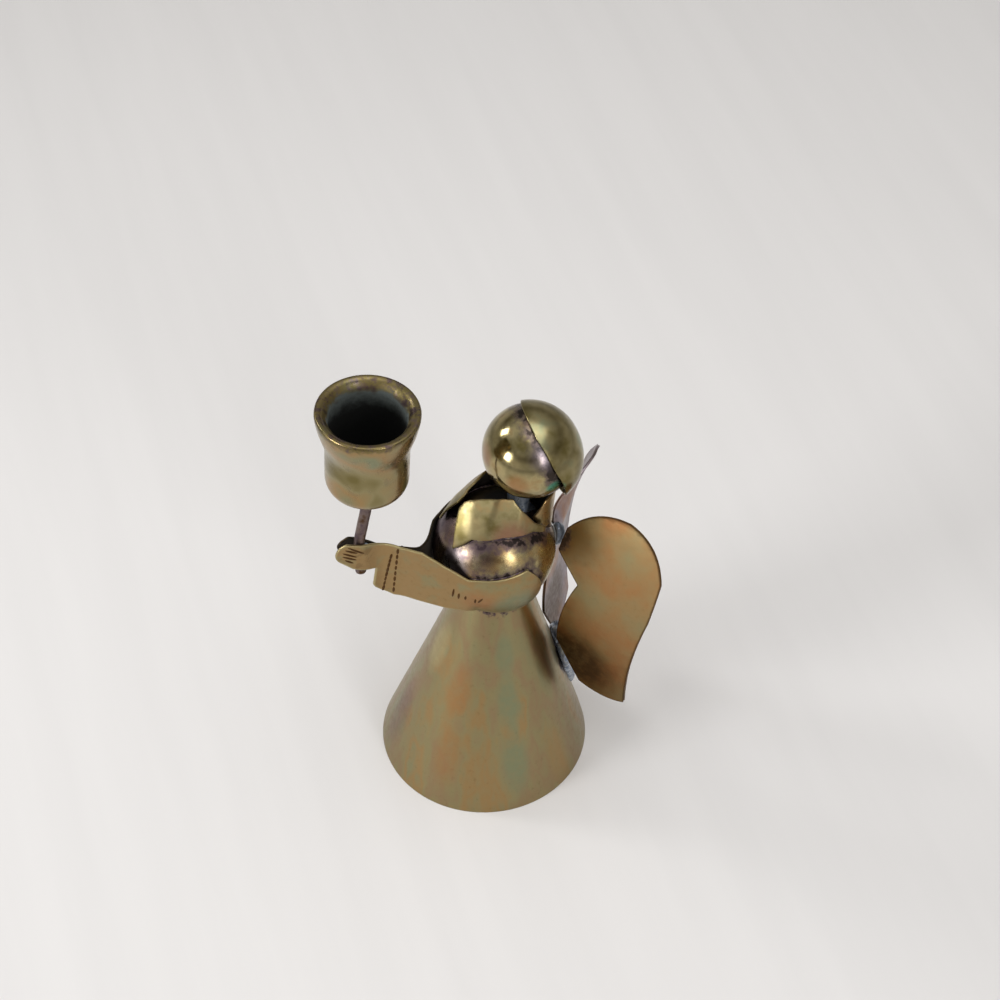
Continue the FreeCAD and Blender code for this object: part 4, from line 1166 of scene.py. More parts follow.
class ANGEL_OT_collar(bpy.types.Operator):
    """Flare the collar band behind the neck"""

    bl_idname = "angel.collar"
    bl_label = "Collar"

    def execute(self, context):
        """Build the collar."""
        figure, cape, finish = props("figure", "cape", "finish")
        lift = figure.ball_radius - cape.collar_sink
        foot = Vector((0, figure.lean + cape.collar_setback, ball_level() + lift))
        rim = cape.collar_radius + cape.collar_flare
        reference = cape.collar_radius

        def radius_at(height):
            share = (height + 0.5 * cape.collar_height) / (1.5 * cape.collar_height)
            return cape.collar_radius + cape.collar_flare * share * (0.4 + 0.6 * share)

        half = []
        for run, climb in COLLAR_OUTLINE_SHARES:
            height = climb * cape.collar_height
            share = min(1.0, max(-1.0, run * 2 * rim / radius_at(height)))
            half.append(Vector((math.acos(share) * reference, height)))
        seat = figure.ball_radius + figure.seam
        lower = []
        for number in range(9):
            bearing = half[0].x / reference * (1 - number / 8)
            spot_radius = radius_at(0)
            back = cape.collar_setback + spot_radius * math.cos(bearing)
            aside = spot_radius * math.sin(bearing)
            under = seat**2 - back**2 - aside**2
            low = math.sqrt(under) - lift if under > 0 else -lift
            lower.append(Vector((bearing * reference, max(low, -0.45 * cape.collar_height))))
        right = lower[::-1] + half[1:]
        mirror = [Vector((-spot.x, spot.y)) for spot in right[::-1]][:-1]
        outline = round_corners(right + mirror, 0.4 * MM)

        def surface(spot):
            bearing = spot.x / reference
            radius = radius_at(spot.y) - figure.gauge / 2
            return foot + Vector((radius * math.sin(bearing), radius * math.cos(bearing), spot.y))

        verts, faces, edges = sheet_mesh(outline, surface, figure.gauge, 0.42 * MM, flip=True)
        material = brass(
            "collar_cut_brass",
            (finish.olive, finish.tan, finish.olive),
            patch=5.0,
            rough=(0.26, 0.40),
            stain=0.8,
            stain_reach=0.9,
            edge_tarnish_and_light=0.5,
            # Painted shade on the collar's inner face.
            painted_inner_shade=0.9,
        )
        near = ("torso", "neck_post")
        make_piece("back_collar_band", verts, faces, material, ("back_collar",), near, edges)
        return {"FINISHED"}


class ANGEL_OT_head(bpy.types.Operator):
    """Make the polished head ball and the neck post"""

    bl_idname = "angel.head"
    bl_label = "Head and neck"

    def execute(self, context):
        """Build the head and the neck."""
        figure, finish = props("figure", "finish")
        centre = head_centre()
        profile = ball_profile(figure.head_radius, figure.gauge, figure.vent_radius, 0.0)
        verts, faces = lathe_mesh(profile, 192, lambda point: centre + point)
        low_edge = centre + Vector((8.2, 1.6, -1.6)) * MM
        temple = centre + Vector((6.6, 0.2, 4.9)) * MM
        material = brass(
            "polished_brass_head",
            (finish.umber, finish.olive, finish.bright, finish.tan),
            patch=4.5,
            rough=(0.10, 0.20),
            stain=0.9,
            stain_reach=2.6,
            edge_tarnish_and_light=0.0,
            spots=(
                (low_edge, 1.9, finish.verdigris, 0.9),
                (temple, 3.6, finish.haze, 0.6),
                # Painted reflection: the torso and cape mirrored orange low on the ball's front.
                (centre + Vector((7.0, -4.5, -0.2)) * MM, 3.0, finish.orange, 0.7),
                (centre + Vector((0.1, -8.1, 1.7)) * MM, 3.0, finish.pink, 0.7),
            ),
            # Painted shade: the ball's underside darkened round the neck.
            soot=(centre + Vector((0.0, 1.5, -9.5)) * MM, 5.0),
            grain=0.03,
        )
        near = ("hair_cap", "neck_post", "back_collar")
        make_piece("head_shell", verts, faces, material, ("head_ball",), near)
        foot = neck_foot()
        rows = 14
        neck = []
        for number in range(rows + 1):
            share = number / rows
            swell = 1.05 * MM * (2 * share - 1) ** 4
            drop = figure.neck_rise + 1.6 * figure.neck_radius
            radius = figure.neck_radius - 0.25 * MM + swell
            neck.append((radius, drop * share - 0.9 * figure.neck_radius))
        neck = [(0.0, neck[0][1]), *neck, (0.0, neck[-1][1])]

        def place(point):
            return foot + point * (1 + 0.05 * ripple(point, 2 * MM, 3.0))

        verts, faces = lathe_mesh(neck, 48, place)
        make_piece("neck_stem", verts, faces, soft_solder(), ("neck_post", "neck_solder"))
        return {"FINISHED"}


class ANGEL_OT_hair(bpy.types.Operator):
    """Press the cap of sheet over the back of the head"""

    bl_idname = "angel.hair"
    bl_label = "Hair"

    def execute(self, context):
        """Build the hair cap."""
        figure, finish = props("figure", "finish")
        inner = figure.head_radius + figure.seam
        outer = inner + figure.gauge
        edge = figure.edge_round
        rows = 64
        last = math.acos(figure.hair_edge / outer)
        profile = []
        for number in range(rows + 1):
            tilt = last * (1 - number / rows) - edge / outer * (1 if number == 0 else 0)
            profile.append((outer * math.sin(tilt), outer * math.cos(tilt)))
        profile[-1] = (0.0, outer)
        profile.append((0.0, inner))
        for number in range(1, rows + 1):
            tilt = last * number / rows - edge / outer * (1 if number == rows else 0)
            profile.append((inner * math.sin(tilt), inner * math.cos(tilt)))
        for share in (0.25, 0.75):
            radius = inner + figure.gauge * share
            profile.append((radius * math.sin(last), radius * math.cos(last)))
        centre = head_centre()
        turned = Matrix.Rotation(-(math.pi / 2 - figure.hair_tilt), 3, "X")

        def place(point):
            share = min(1.0, max(0.0, 1 - (point.z - figure.hair_edge) / (0.5 * outer)))
            bearing = math.atan2(point.y, point.x)
            uneven = 0.10 * math.sin(3 * bearing + 0.6) + 0.06 * math.sin(7 * bearing)
            bowed = figure.hair_bow * abs(math.cos(bearing)) ** 1.5
            moved = point + Vector((0, 0, (uneven * MM + bowed) * share))
            moved = turned @ (moved.normalized() * point.length)
            way = moved.normalized()
            drape = max(0.0, 0.55 * abs(way.x) + 0.45 * way.y - 0.7 * way.z) ** 2
            dent = 0.4 * figure.waviness * ripple(moved, 6 * MM, 9.0)
            return centre + moved + way * (figure.hair_drape * drape + dent)

        verts, faces = lathe_mesh(profile, 160, place)
        axis = turned @ UP
        away = [abs((point - centre).angle(axis, 0.0) - last) * outer for point in verts]
        edges = (away, [0.0] * len(verts))
        low_edge = centre + Vector((8.5, 2.0, -1.4)) * MM
        material = brass(
            "pressed_brass_hair",
            (finish.umber, finish.umber, finish.olive, finish.green),
            patch=6.0,
            rough=(0.18, 0.27),
            stain=0.0,
            # Painted highlight: a bright line along the cap's rim.
            edge_tarnish_and_light=0.9,
            edge_tarnish_and_light_tone=finish.bright,
            spots=((low_edge, 2.0, finish.verdigris, 0.95),),
            grain=0.03,
        )
        make_piece("hair_shell", verts, faces, material, ("hair_cap",), (), edges)
        return {"FINISHED"}


class ANGEL_OT_wings(bpy.types.Operator):
    """Bend and cut the two wings"""

    bl_idname = "angel.wings"
    bl_label = "Wings"

    def execute(self, context):
        """Build both wings."""
        figure, wings, finish = props("figure", "wings", "finish")
        corners = []
        for number, (out, climb, bulge) in enumerate(WING_OUTLINE_SHARES):
            start = self.corner(wings, out, climb)
            following = WING_OUTLINE_SHARES[(number + 1) % len(WING_OUTLINE_SHARES)]
            finish_point = self.corner(wings, following[0], following[1])
            corners.append(start)
            if bulge:
                stand = -bulge * wings.span
                corners += arc_profile(start, finish_point, stand, 14)[:-1]
        outline = round_corners(corners, 0.5 * MM)
        centre = math.sqrt(wings.bow**2 - wings.belly**2)
        back = figure.lean + figure.ball_radius + wings.standoff
        tip_start, tip_run, tip_bend = 26 * MM, 9 * MM, 0.35 * MM
        twist_reach = 16 * MM
        sides = (
            (1, "left_wing", wings.left_drop, wings.left_angle),
            (-1, "right_wing", wings.right_drop, wings.right_angle),
        )
        for side, name, drop, angle in sides:
            turned = Matrix.Rotation(math.pi / 2 - angle, 3, "Z")

            def surface(spot):
                bend = centre - math.sqrt(wings.bow**2 - (spot.y + wings.belly) ** 2)
                tip = max(0.0, -spot.y - tip_start) / tip_run
                bend -= tip_bend * tip**2
                if side < 0:
                    rise = min(max((spot.y / MM + 2) / 8, 0.0), 1.0)
                    ease = rise * rise * (3 - 2 * rise)
                    out = 1 - spot.x / twist_reach
                    bend -= wings.right_twist * ease * (out**1.5 if out > 0 else 0.6 * out)
                local = Vector((spot.x, bend, spot.y))
                local.y += figure.waviness * 1.6 * ripple(local, 13 * MM, 4.0 * side)
                point = turned @ local + Vector((0, back, ball_level() - drop))
                point.x *= side
                return point

            verts, faces, edges = sheet_mesh(outline, surface, wings.gauge, 0.6 * MM, flip=side < 0)
            low = surface(Vector((wings.span * 0.30, -wings.length * 0.64)))
            warm = surface(Vector((wings.span * 0.42, -wings.length * 0.40)))
            tones = (finish.olive, finish.tan, finish.orange)
            if side < 0:
                tones = (finish.rod, finish.haze, finish.pink)
            material = brass(
                f"{name}_tarnished_brass",
                tones,
                patch=8.0,
                rough=(0.34, 0.46),
                stain=0.7,
                stain_reach=1.4,
                edge_tarnish_and_light=0.8 if side > 0 else 0.1,
                # The brown spot low on each wing is a painted reflection; the orange one is tarnish.
                spots=((warm, 4.5, finish.orange, 0.7), (low, 11.0, finish.brown, 0.95)),
            )
            near = ("wing_solder_top", "wing_solder_bottom")
            make_piece(f"{name}_sheet", verts, faces, material, (name,), near, edges)
        return {"FINISHED"}

    @staticmethod
    def corner(wings, out, climb):
        """One corner of the outline."""
        return Vector((wings.root_gap + wings.span * out, wings.length * climb))


def sleeve_stations(hand):
    """Middle line of an arm's sheet in plan, as points, outward directions and bends."""
    figure, arms = props("figure", "arms")
    centre = figure.lean
    hug = figure.ball_radius + figure.seam + figure.gauge / 2
    apart = arms.rod_radius + figure.seam + figure.gauge / 2
    pinch = figure.gauge / 2 + figure.seam
    rod = centre - arms.rod_reach
    half_hand = arms.hand_length / 2
    start = rod + 1.5 * half_hand
    spots = [
        (Vector((apart, rod - 2 * half_hand, 0)), 0.0),
        (Vector((apart, rod - half_hand, 0)), 0.0),
        (Vector((apart, rod, 0)), 0.0),
        (Vector((pinch, rod + half_hand, 0)), 0.0),
    ]
    way = centre - start
    if hand == "left":
        spread_angle = math.asin(hug / math.hypot(way, pinch))
        bearing = spread_angle - math.atan2(pinch, way)
        run_length = math.sqrt(way**2 + pinch**2 - hug**2)
        for share, bend in ((0.06, 0.0), (0.35, 0.0), (0.65, 0.0), (0.88, 0.4)):
            run = Vector((math.sin(bearing), math.cos(bearing), 0)) * run_length * share
            spots.append((Vector((pinch, start, 0)) + run, bend))
        touch = math.pi / 2 - bearing
    else:
        touch = arms.right_touch
        reach = way - hug * math.cos(touch)
        for along, aside in RIGHT_SLEEVE_SHARES:
            bend = max(0.0, (along - RIGHT_SLEEVE_SHARES[-3][0]) / along)
            spot = Vector((aside * figure.ball_radius, start + reach * along, 0))
            off_axis = spot - Vector((0, centre, 0))
            spot += off_axis * max(0.0, hug / off_axis.length - 1)
            spots.append((spot, bend))
    count = 6
    for number in range(count):
        bearing = touch + (arms.last_turn - touch) * number / (count - 1)
        out = Vector((math.sin(bearing), -math.cos(bearing), 0))
        spots.append((Vector((0, centre, 0)) + out * hug, 1.0))
    dense = []
    parts = 24
    for number in range(len(spots) - 1):
        for part in range(parts):
            share = part / parts
            point = smooth_between(spots, number, share)
            bend = spots[number][1] + (spots[number + 1][1] - spots[number][1]) * share
            dense.append((point, bend))
    dense.append(spots[-1])
    stations = []
    for number, (point, bend) in enumerate(dense):
        before = dense[max(number - 3, 0)][0]
        after = dense[min(number + 3, len(dense) - 1)][0]
        run = after - before
        outward = Vector((run.y, -run.x, 0)).normalized()
        stations.append((point, outward, bend))
    return stations


def smooth_between(spots, number, share):
    """Point on a smooth curve through the spots, a share of the way to the next one."""
    p1 = spots[number][0]
    p2 = spots[number + 1][0]
    p0 = spots[number - 1][0] if number else p1 * 2 - p2
    p3 = spots[number + 2][0] if number + 2 < len(spots) else p2 * 2 - p1
    gap = (p2 - p1).length
    first = (p2 - p0) / ((p1 - p0).length + gap) * gap
    last = (p3 - p1) / ((p3 - p2).length + gap) * gap
    square = share * share
    cube = square * share
    return (
        p1 * (2 * cube - 3 * square + 1)
        + first * (cube - 2 * square + share)
        + p2 * (3 * square - 2 * cube)
        + last * (cube - square)
    )


def sleeve_surface(hand):
    """Function that lifts a point of the arm's side view onto the bent sheet."""
    stations = sleeve_stations(hand)
    level = ball_level()
    curve = props("arms").sleeve_curve
    side = 1 if hand == "left" else -1

    def spot_at(number, height):
        point, outward, bend = stations[number]
        return point - outward * (bend * (height - level) ** 2 / (2 * curve))

    def surface(spot):
        low = 0
        high = len(stations) - 1
        while high - low > 1:
            middle = (low + high) // 2
            if spot_at(middle, spot.y).y < spot.x:
                low = middle
            else:
                high = middle
        first = spot_at(low, spot.y)
        last = spot_at(high, spot.y)
        share = (spot.x - first.y) / max(last.y - first.y, 1e-9)
        point = first + (last - first) * share
        return Vector((point.x * side, spot.x, spot.y))

    return surface


def arm_outline(hand):
    """Side view of an arm as a closed outline, behind and above being positive."""
    figure, arms = props("figure", "arms")
    short, late, sink = HAND_OFFSET_SHARES[hand]
    rod = figure.lean - arms.rod_reach
    bottom = ball_level() + arms.hand_lift
    cuff = rod + arms.hand_length * (0.36 + late)
    tip = rod - arms.hand_length * (0.64 - short)
    arm_top = bottom + arms.hand_height
    top = arm_top - arms.hand_height * sink
    cuff_bottom = bottom - arms.cuff_drop
    low = ball_level() - arms.sleeve_sag
    high = ball_level() + arms.sleeve_rise
    rear = figure.lean + arms.sleeve_wrap
    elbow = figure.lean - figure.ball_radius * 0.68
    elbow_run, elbow_climb = ELBOW_TOP_SHARES[hand]
    corners = [
        Vector((cuff, bottom)),
        Vector((cuff - arms.cuff_drop * 0.12, bottom - arms.cuff_drop * 0.70)),
        Vector((cuff - arms.cuff_drop * 0.08, bottom - arms.cuff_drop * 0.82)),
        Vector((cuff + arms.cuff_drop * 0.10, cuff_bottom - arms.cuff_drop * 0.06)),
        Vector((cuff + arms.cuff_drop * 0.5, cuff_bottom - arms.cuff_drop * 0.40)),
        Vector((elbow, low + arms.sleeve_sag * 0.18)),
        Vector((rear, low)),
    ]
    corners += arc_profile((rear, low), (rear, high), arms.sleeve_end, 16)
    elbow_high = ball_level() + arms.sleeve_rise * elbow_climb
    corners.append(Vector((figure.lean - figure.ball_radius * elbow_run, elbow_high)))
    for run, fall in reversed(SLEEVE_TOP_SHARES[hand]):
        corners.append(Vector((cuff + arms.hand_length * run, arm_top - arms.hand_height * fall)))
    height = arms.hand_height
    span = arms.hand_length
    corners += [
        Vector((cuff - span * 0.13, top - height * 0.21)),
        Vector((tip + span * 0.56, top - height * 0.09)),
        Vector((tip + span * 0.29, top)),
        Vector((tip + span * 0.11, top - height * 0.08)),
    ]
    finger_low = Vector((tip + span * 0.14, bottom + height * 0.49))
    corners += arc_profile(corners[-1], finger_low, span * 0.12, 8)
    corners += [
        Vector((tip + span * 0.40, bottom + height * 0.26)),
        Vector((cuff - span * 0.31, bottom + height * 0.12)),
    ]
    return corners


class ANGEL_OT_arms(bpy.types.Operator):
    """Bend and cut the two arms, each a hand and a sleeve of one strip"""

    bl_idname = "angel.arms"
    bl_label = "Arms"

    def execute(self, context):
        """Build both arms."""
        figure, finish = props("figure", "finish")
        for hand in ("left", "right"):
            surface = sleeve_surface(hand)
            outline = round_corners(arm_outline(hand), 0.55 * MM)
            verts, faces, edges = sheet_mesh(
                outline, surface, figure.gauge, 0.45 * MM, flip=hand == "right"
            )
            elbow = surface(Vector((-3.5 * MM, 51.5 * MM)))
            fold = surface(Vector((2.5 * MM, 50 * MM)))
            material = brass(
                f"{hand}_sleeve_cut_brass",
                (finish.tan, finish.olive, finish.tan, finish.tan, finish.olive),
                patch=6.0,
                rough=(0.34, 0.46),
                stain=0.25,
                stain_reach=0.35,
                # Painted light on the cut edges: a painted highlight along the near left arm, painted
                # shade along the far right arm.
                edge_tarnish_and_light=0.9,
                edge_tarnish_and_light_tone=finish.bright if hand == "left" else finish.dark,
                spots=((elbow, 4.4, finish.orange, 0.8), (fold, 5.5, finish.green, 0.95)),
                # Painted shade on the sleeve's inner face.
                painted_inner_shade=0.92,
                grain=0.06,
            )
            node = f"{hand}_arm"
            near = ("hand_solder", "stem_rod")
            make_piece(f"{node}_strip", verts, faces, material, (node,), near, edges)
        return {"FINISHED"}


def cup_matrix():
    """Place of the cup: its foot's centre and its lean."""
    cup = props("cup")
    foot = rod_top() - Vector((0, cup.offset, 0))
    return Matrix.Translation(foot) @ Matrix.Rotation(-cup.tilt, 4, "X")


class ANGEL_OT_cup(bpy.types.Operator):
    """Spin the candle cup with its flared lip"""

    bl_idname = "angel.cup"
    bl_label = "Candle cup"

    def execute(self, context):
        """Build the cup."""
        figure, cup = props("figure", "cup")
        outer = cup.bore + cup.wall
        inner_corner = cup.corner - cup.wall
        profile = [(0.0, 0.0), ((outer - cup.corner) * 0.5, 0.0)]
        turns = 14
        for number in range(turns + 1):
            bearing = math.pi / 2 * number / turns
            radius = outer - cup.corner + cup.corner * math.sin(bearing)
            profile.append((radius, cup.corner - cup.corner * math.cos(bearing)))
        start = (outer, cup.height * (1 + LIP_SHARES[0][1]))
        for number in range(1, 12):
            profile.append((outer, cup.corner + (start[1] - cup.corner) * number / 12))
        flare = cup.lip_radius - outer
        lip = []
        for out, drop in LIP_SHARES:
            lip.append(Vector((outer + flare * out, cup.height * (1 + drop))))
        profile += [tuple(point) for point in smooth_line(lip, 6)]
        low = cup.floor + inner_corner
        end = profile[-1][1]
        for number in range(1, 16):
            profile.append((cup.bore, end + (low - end) * number / 16))
        for number in range(turns + 1):
            bearing = math.pi / 2 * (1 - number / turns)
            radius = cup.bore - inner_corner + inner_corner * math.sin(bearing)
            profile.append((radius, low - inner_corner * math.cos(bearing)))
        profile += [((cup.bore - inner_corner) * 0.5, cup.floor), (0.0, cup.floor)]
        place = cup_matrix()

        def put(point):
            flat = Vector((point.x, point.y, 0))
            dent = 0.5 * figure.waviness * ripple(point, 7 * MM, 6.0)
            return place @ (point + flat.normalized() * dent)

        around = 192
        verts, faces = lathe_mesh(profile, around, put)
        piece = make_piece("candle_cup_shell", verts, faces, cup_brass(), ("candle_cup",))
        heights = [height for _, height in profile]
        crest = heights.index(max(heights))
        depths = []
        for number, (radius, height) in enumerate(profile):
            drop = cup.height - height
            copies = 1 if radius < ON_AXIS else around
            depths += [drop if number > crest else -drop] * copies
        put_attribute(piece.data, "depth", depths)
        return {"FINISHED"}


def smooth_line(points, parts):
    """Smooth line through points of the plane."""
    spots = [(Vector((point.x, point.y, 0)), 0.0) for point in points]
    line = []
    for number in range(len(spots) - 1):
        for part in range(parts):
            line.append(smooth_between(spots, number, part / parts).to_2d())
    line.append(spots[-1][0].to_2d())
    return line


class ANGEL_OT_rod(bpy.types.Operator):
    """Bend the rod that carries the cup"""

    bl_idname = "angel.rod"
    bl_label = "Rod"

    def execute(self, context):
        """Build the rod."""
        arms = props("arms")
        foot = rod_foot()
        path = []
        radii = []
        for share in (0.0, 0.35, 0.7, 1.0):
            tilt = math.pi / 2 * share
            radii.append(arms.rod_radius * (0.72 + 0.28 * math.sin(tilt)))
            path.append(foot + UP * (0.22 * MM * (1 - math.cos(tilt))))
        steps = 24
        for number in range(1, steps + 1):
            path.append(foot + UP * (arms.rod_grip * number / steps))
        for number in range(1, 9):
            bearing = arms.rod_angle * number / 8
            back = arms.rod_bend_radius * (1 - math.cos(bearing))
            climb = arms.rod_grip + arms.rod_bend_radius * math.sin(bearing)
            path.append(foot + Vector((0, back, climb)))
        corner = path[-1]
        top = rod_top() + Vector((0, 0, 0.05 * MM))
        for number in range(1, steps + 1):
            path.append(corner.lerp(top, number / steps))
        while len(radii) < len(path):
            point = path[len(radii)]
            radii.append(arms.rod_radius * (1 + 0.02 * ripple(point, 1.5 * MM, 1.0)))
        verts, faces = tube_mesh(path, radii, 40)
        make_piece("stem_rod_wire", verts, faces, stained_rod(), ("stem_rod",))
        return {"FINISHED"}


def geometry_tree(name, sockets):
    """Start a Geometry Nodes tree with its inputs and one geometry output."""
    tree = bpy.data.node_groups.new(name, "GeometryNodeTree")
    tree.interface.new_socket("Geometry", in_out="INPUT", socket_type="NodeSocketGeometry")
    for label, kind, value in sockets:
        socket = tree.interface.new_socket(label, in_out="INPUT", socket_type=kind)
        if value is not None:
            socket.default_value = value
    tree.interface.new_socket("Geometry", in_out="OUTPUT", socket_type="NodeSocketGeometry")
    start = add(tree, "NodeGroupInput")
    return tree, start


def close_tree(tree, geometry, material):
    """End a tree in real geometry with its material."""
    real = add(tree, "GeometryNodeRealizeInstances", {0: geometry})
    smooth = add(tree, "GeometryNodeSetShadeSmooth", {0: real})
    painted = add(tree, "GeometryNodeSetMaterial", {"Geometry": smooth, "Material": material})
    add(tree, "NodeGroupOutput", {0: painted})


def grow(name, source, tree, values, stands_for=()):
    """Run a tree on an object, keep its result as a plain mesh and settle the piece."""
    modifier = source.modifiers.new("grow", "NODES")
    modifier.node_group = tree
    for item in tree.interface.items_tree:
        if item.in_out == "INPUT" and item.name in values:
            modifier[item.identifier] = values[item.name]
    context = bpy.context
    context.view_layer.update()
    shown = source.evaluated_get(context.evaluated_depsgraph_get())
    mesh = bpy.data.meshes.new_from_object(shown)
    source.modifiers.remove(modifier)
    bpy.data.objects.remove(source)
    if not mesh.polygons:
        raise RuntimeError(f"{name} came out empty")
    mesh.name = name
    return settle(put_in_scene(name, mesh), None, stands_for)


def solder_tree():
    """Tree that turns a rough block into a lump of solder that flowed and froze.

    It works in millimetres: the block is blown up, made a volume, softened by its surface
    and brought back to its real size.
    """
    sockets = (
        ("Voxel", "NodeSocketFloat", 0.16),
        ("Swell", "NodeSocketFloat", 0.05),
        ("Ripple", "NodeSocketFloat", 0.12),
        ("Ripple size", "NodeSocketFloat", 1.2),
        ("Material", "NodeSocketMaterial", None),
    )
    tree, start = geometry_tree("solder_flow", sockets)
    large = add(tree, "GeometryNodeTransform", {"Geometry": start, "Scale": (1 / MM,) * 3})
    volume = add(
        tree,
        "GeometryNodeMeshToVolume",
        {"Mesh": large, "Voxel Size": start.outputs["Voxel"], "Interior Band Width": 3.0},
        resolution_mode="VOXEL_SIZE",
    )
    skin = add(
        tree,
        "GeometryNodeVolumeToMesh",
        {"Volume": volume, "Voxel Size": start.outputs["Voxel"], "Threshold": 0.1},
        resolution_mode="VOXEL_SIZE",
    )
    place = add(tree, "GeometryNodeInputPosition")
    eased = add(
        tree, "GeometryNodeBlurAttribute", {"Value": place, "Iterations": 6}, data_type="FLOAT_VECTOR"
    )
    soft = add(tree, "GeometryNodeSetPosition", {"Geometry": skin, "Position": eased})
    scale = add(tree, "ShaderNodeMath", (1.0, start.outputs["Ripple size"]), operation="DIVIDE")
    texture = add(
        tree, "ShaderNodeTexNoise", {"Vector": place, "Scale": scale, "Detail": 1.0}, noise_dimensions="3D"
    )
    centred = add(tree, "ShaderNodeMath", (texture, 0.5), operation="SUBTRACT")
    wave = add(
        tree,
        "ShaderNodeMath",
        (centred, start.outputs["Ripple"], start.outputs["Swell"]),
        operation="MULTIPLY_ADD",
    )
    normal = add(tree, "GeometryNodeInputNormal")
    push = add(tree, "ShaderNodeVectorMath", {0: normal, "Scale": wave}, operation="SCALE")
    moved = add(tree, "GeometryNodeSetPosition", {"Geometry": soft, "Offset": push})
    small = add(tree, "GeometryNodeTransform", {"Geometry": moved, "Scale": (MM,) * 3})
    close_tree(tree, small, start.outputs["Material"])
    return tree


def merged_copy(node, name):
    """Copy a CAD node with its loose triangles joined."""
    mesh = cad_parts[node].data
    points = [vertex.co.copy() for vertex in mesh.vertices]
    order = {}
    places = []
    index = []
    for point in points:
        key = tuple(round(value / (0.0005 * MM)) for value in point)
        if key not in order:
            order[key] = len(places)
            places.append(point)
        index.append(order[key])
    faces = []
    for polygon in mesh.polygons:
        face = [index[v] for v in polygon.vertices]
        if len(set(face)) == len(face):
            faces.append(face)
    copy = bpy.data.meshes.new(name)
    copy.from_pydata([tuple(point) for point in places], [], faces)
    copy.validate()
    return put_in_scene(name, copy)


def add_run(block):
    """Add the run of solder that flowed down the skirt's back under the lower lump."""
    figure = props("figure")
    verts = [vertex.co.copy() for vertex in block.data.vertices]
    faces = [tuple(polygon.vertices) for polygon in block.data.polygons]
    path = []
    radii = []
    count = 12
    top = 24.0 * MM
    low = 9.5 * MM
    for number in range(count + 1):
        share = number / count
        height = top + (low - top) * share
        slope = (figure.hem_radius - figure.waist_radius) / figure.skirt_height
        back = figure.lean * height / figure.skirt_height + figure.hem_radius - slope * height
        path.append(Vector((0.5 * MM * math.sin(3 * share), back + 0.7 * MM * (1 - share), height)))
        radii.append((0.9 + 1.3 * math.sin(math.pi * (0.25 + 0.6 * share))) * MM)
    more, more_faces = tube_mesh(path, radii, 16)
    first = len(verts)
    verts += more
    faces += [tuple(first + v for v in face) for face in more_faces]
    block.data.clear_geometry()
    block.data.from_pydata([tuple(point) for point in verts], [], faces)


class ANGEL_OT_solder(bpy.types.Operator):
    """Flow the solder at every joint"""

    bl_idname = "angel.solder"
    bl_label = "Solder"

    def execute(self, context):
        """Build the lumps of solder."""
        tree = solder_tree()
        tin = soft_solder()
        lumps = (
            ("wing_solder_top", 0.15, -0.22, 0.3),
            ("wing_solder_bottom", 0.16, -0.05, 0.35),
            ("waist_solder", 0.16, 0.02, 0.2),
            ("hand_solder", 0.12, 0.02, 0.3),
            ("cup_solder", 0.09, 0.04, 0.15),
        )
        for node, voxel, swell, wave in lumps:
            block = merged_copy(node, f"{node}_block")
            if node == "wing_solder_bottom":
                add_run(block)
            values = {"Voxel": voxel, "Swell": swell, "Ripple": wave, "Material": tin}
            grow(f"{node}_lump", block, tree, values, (node,))
        return {"FINISHED"}


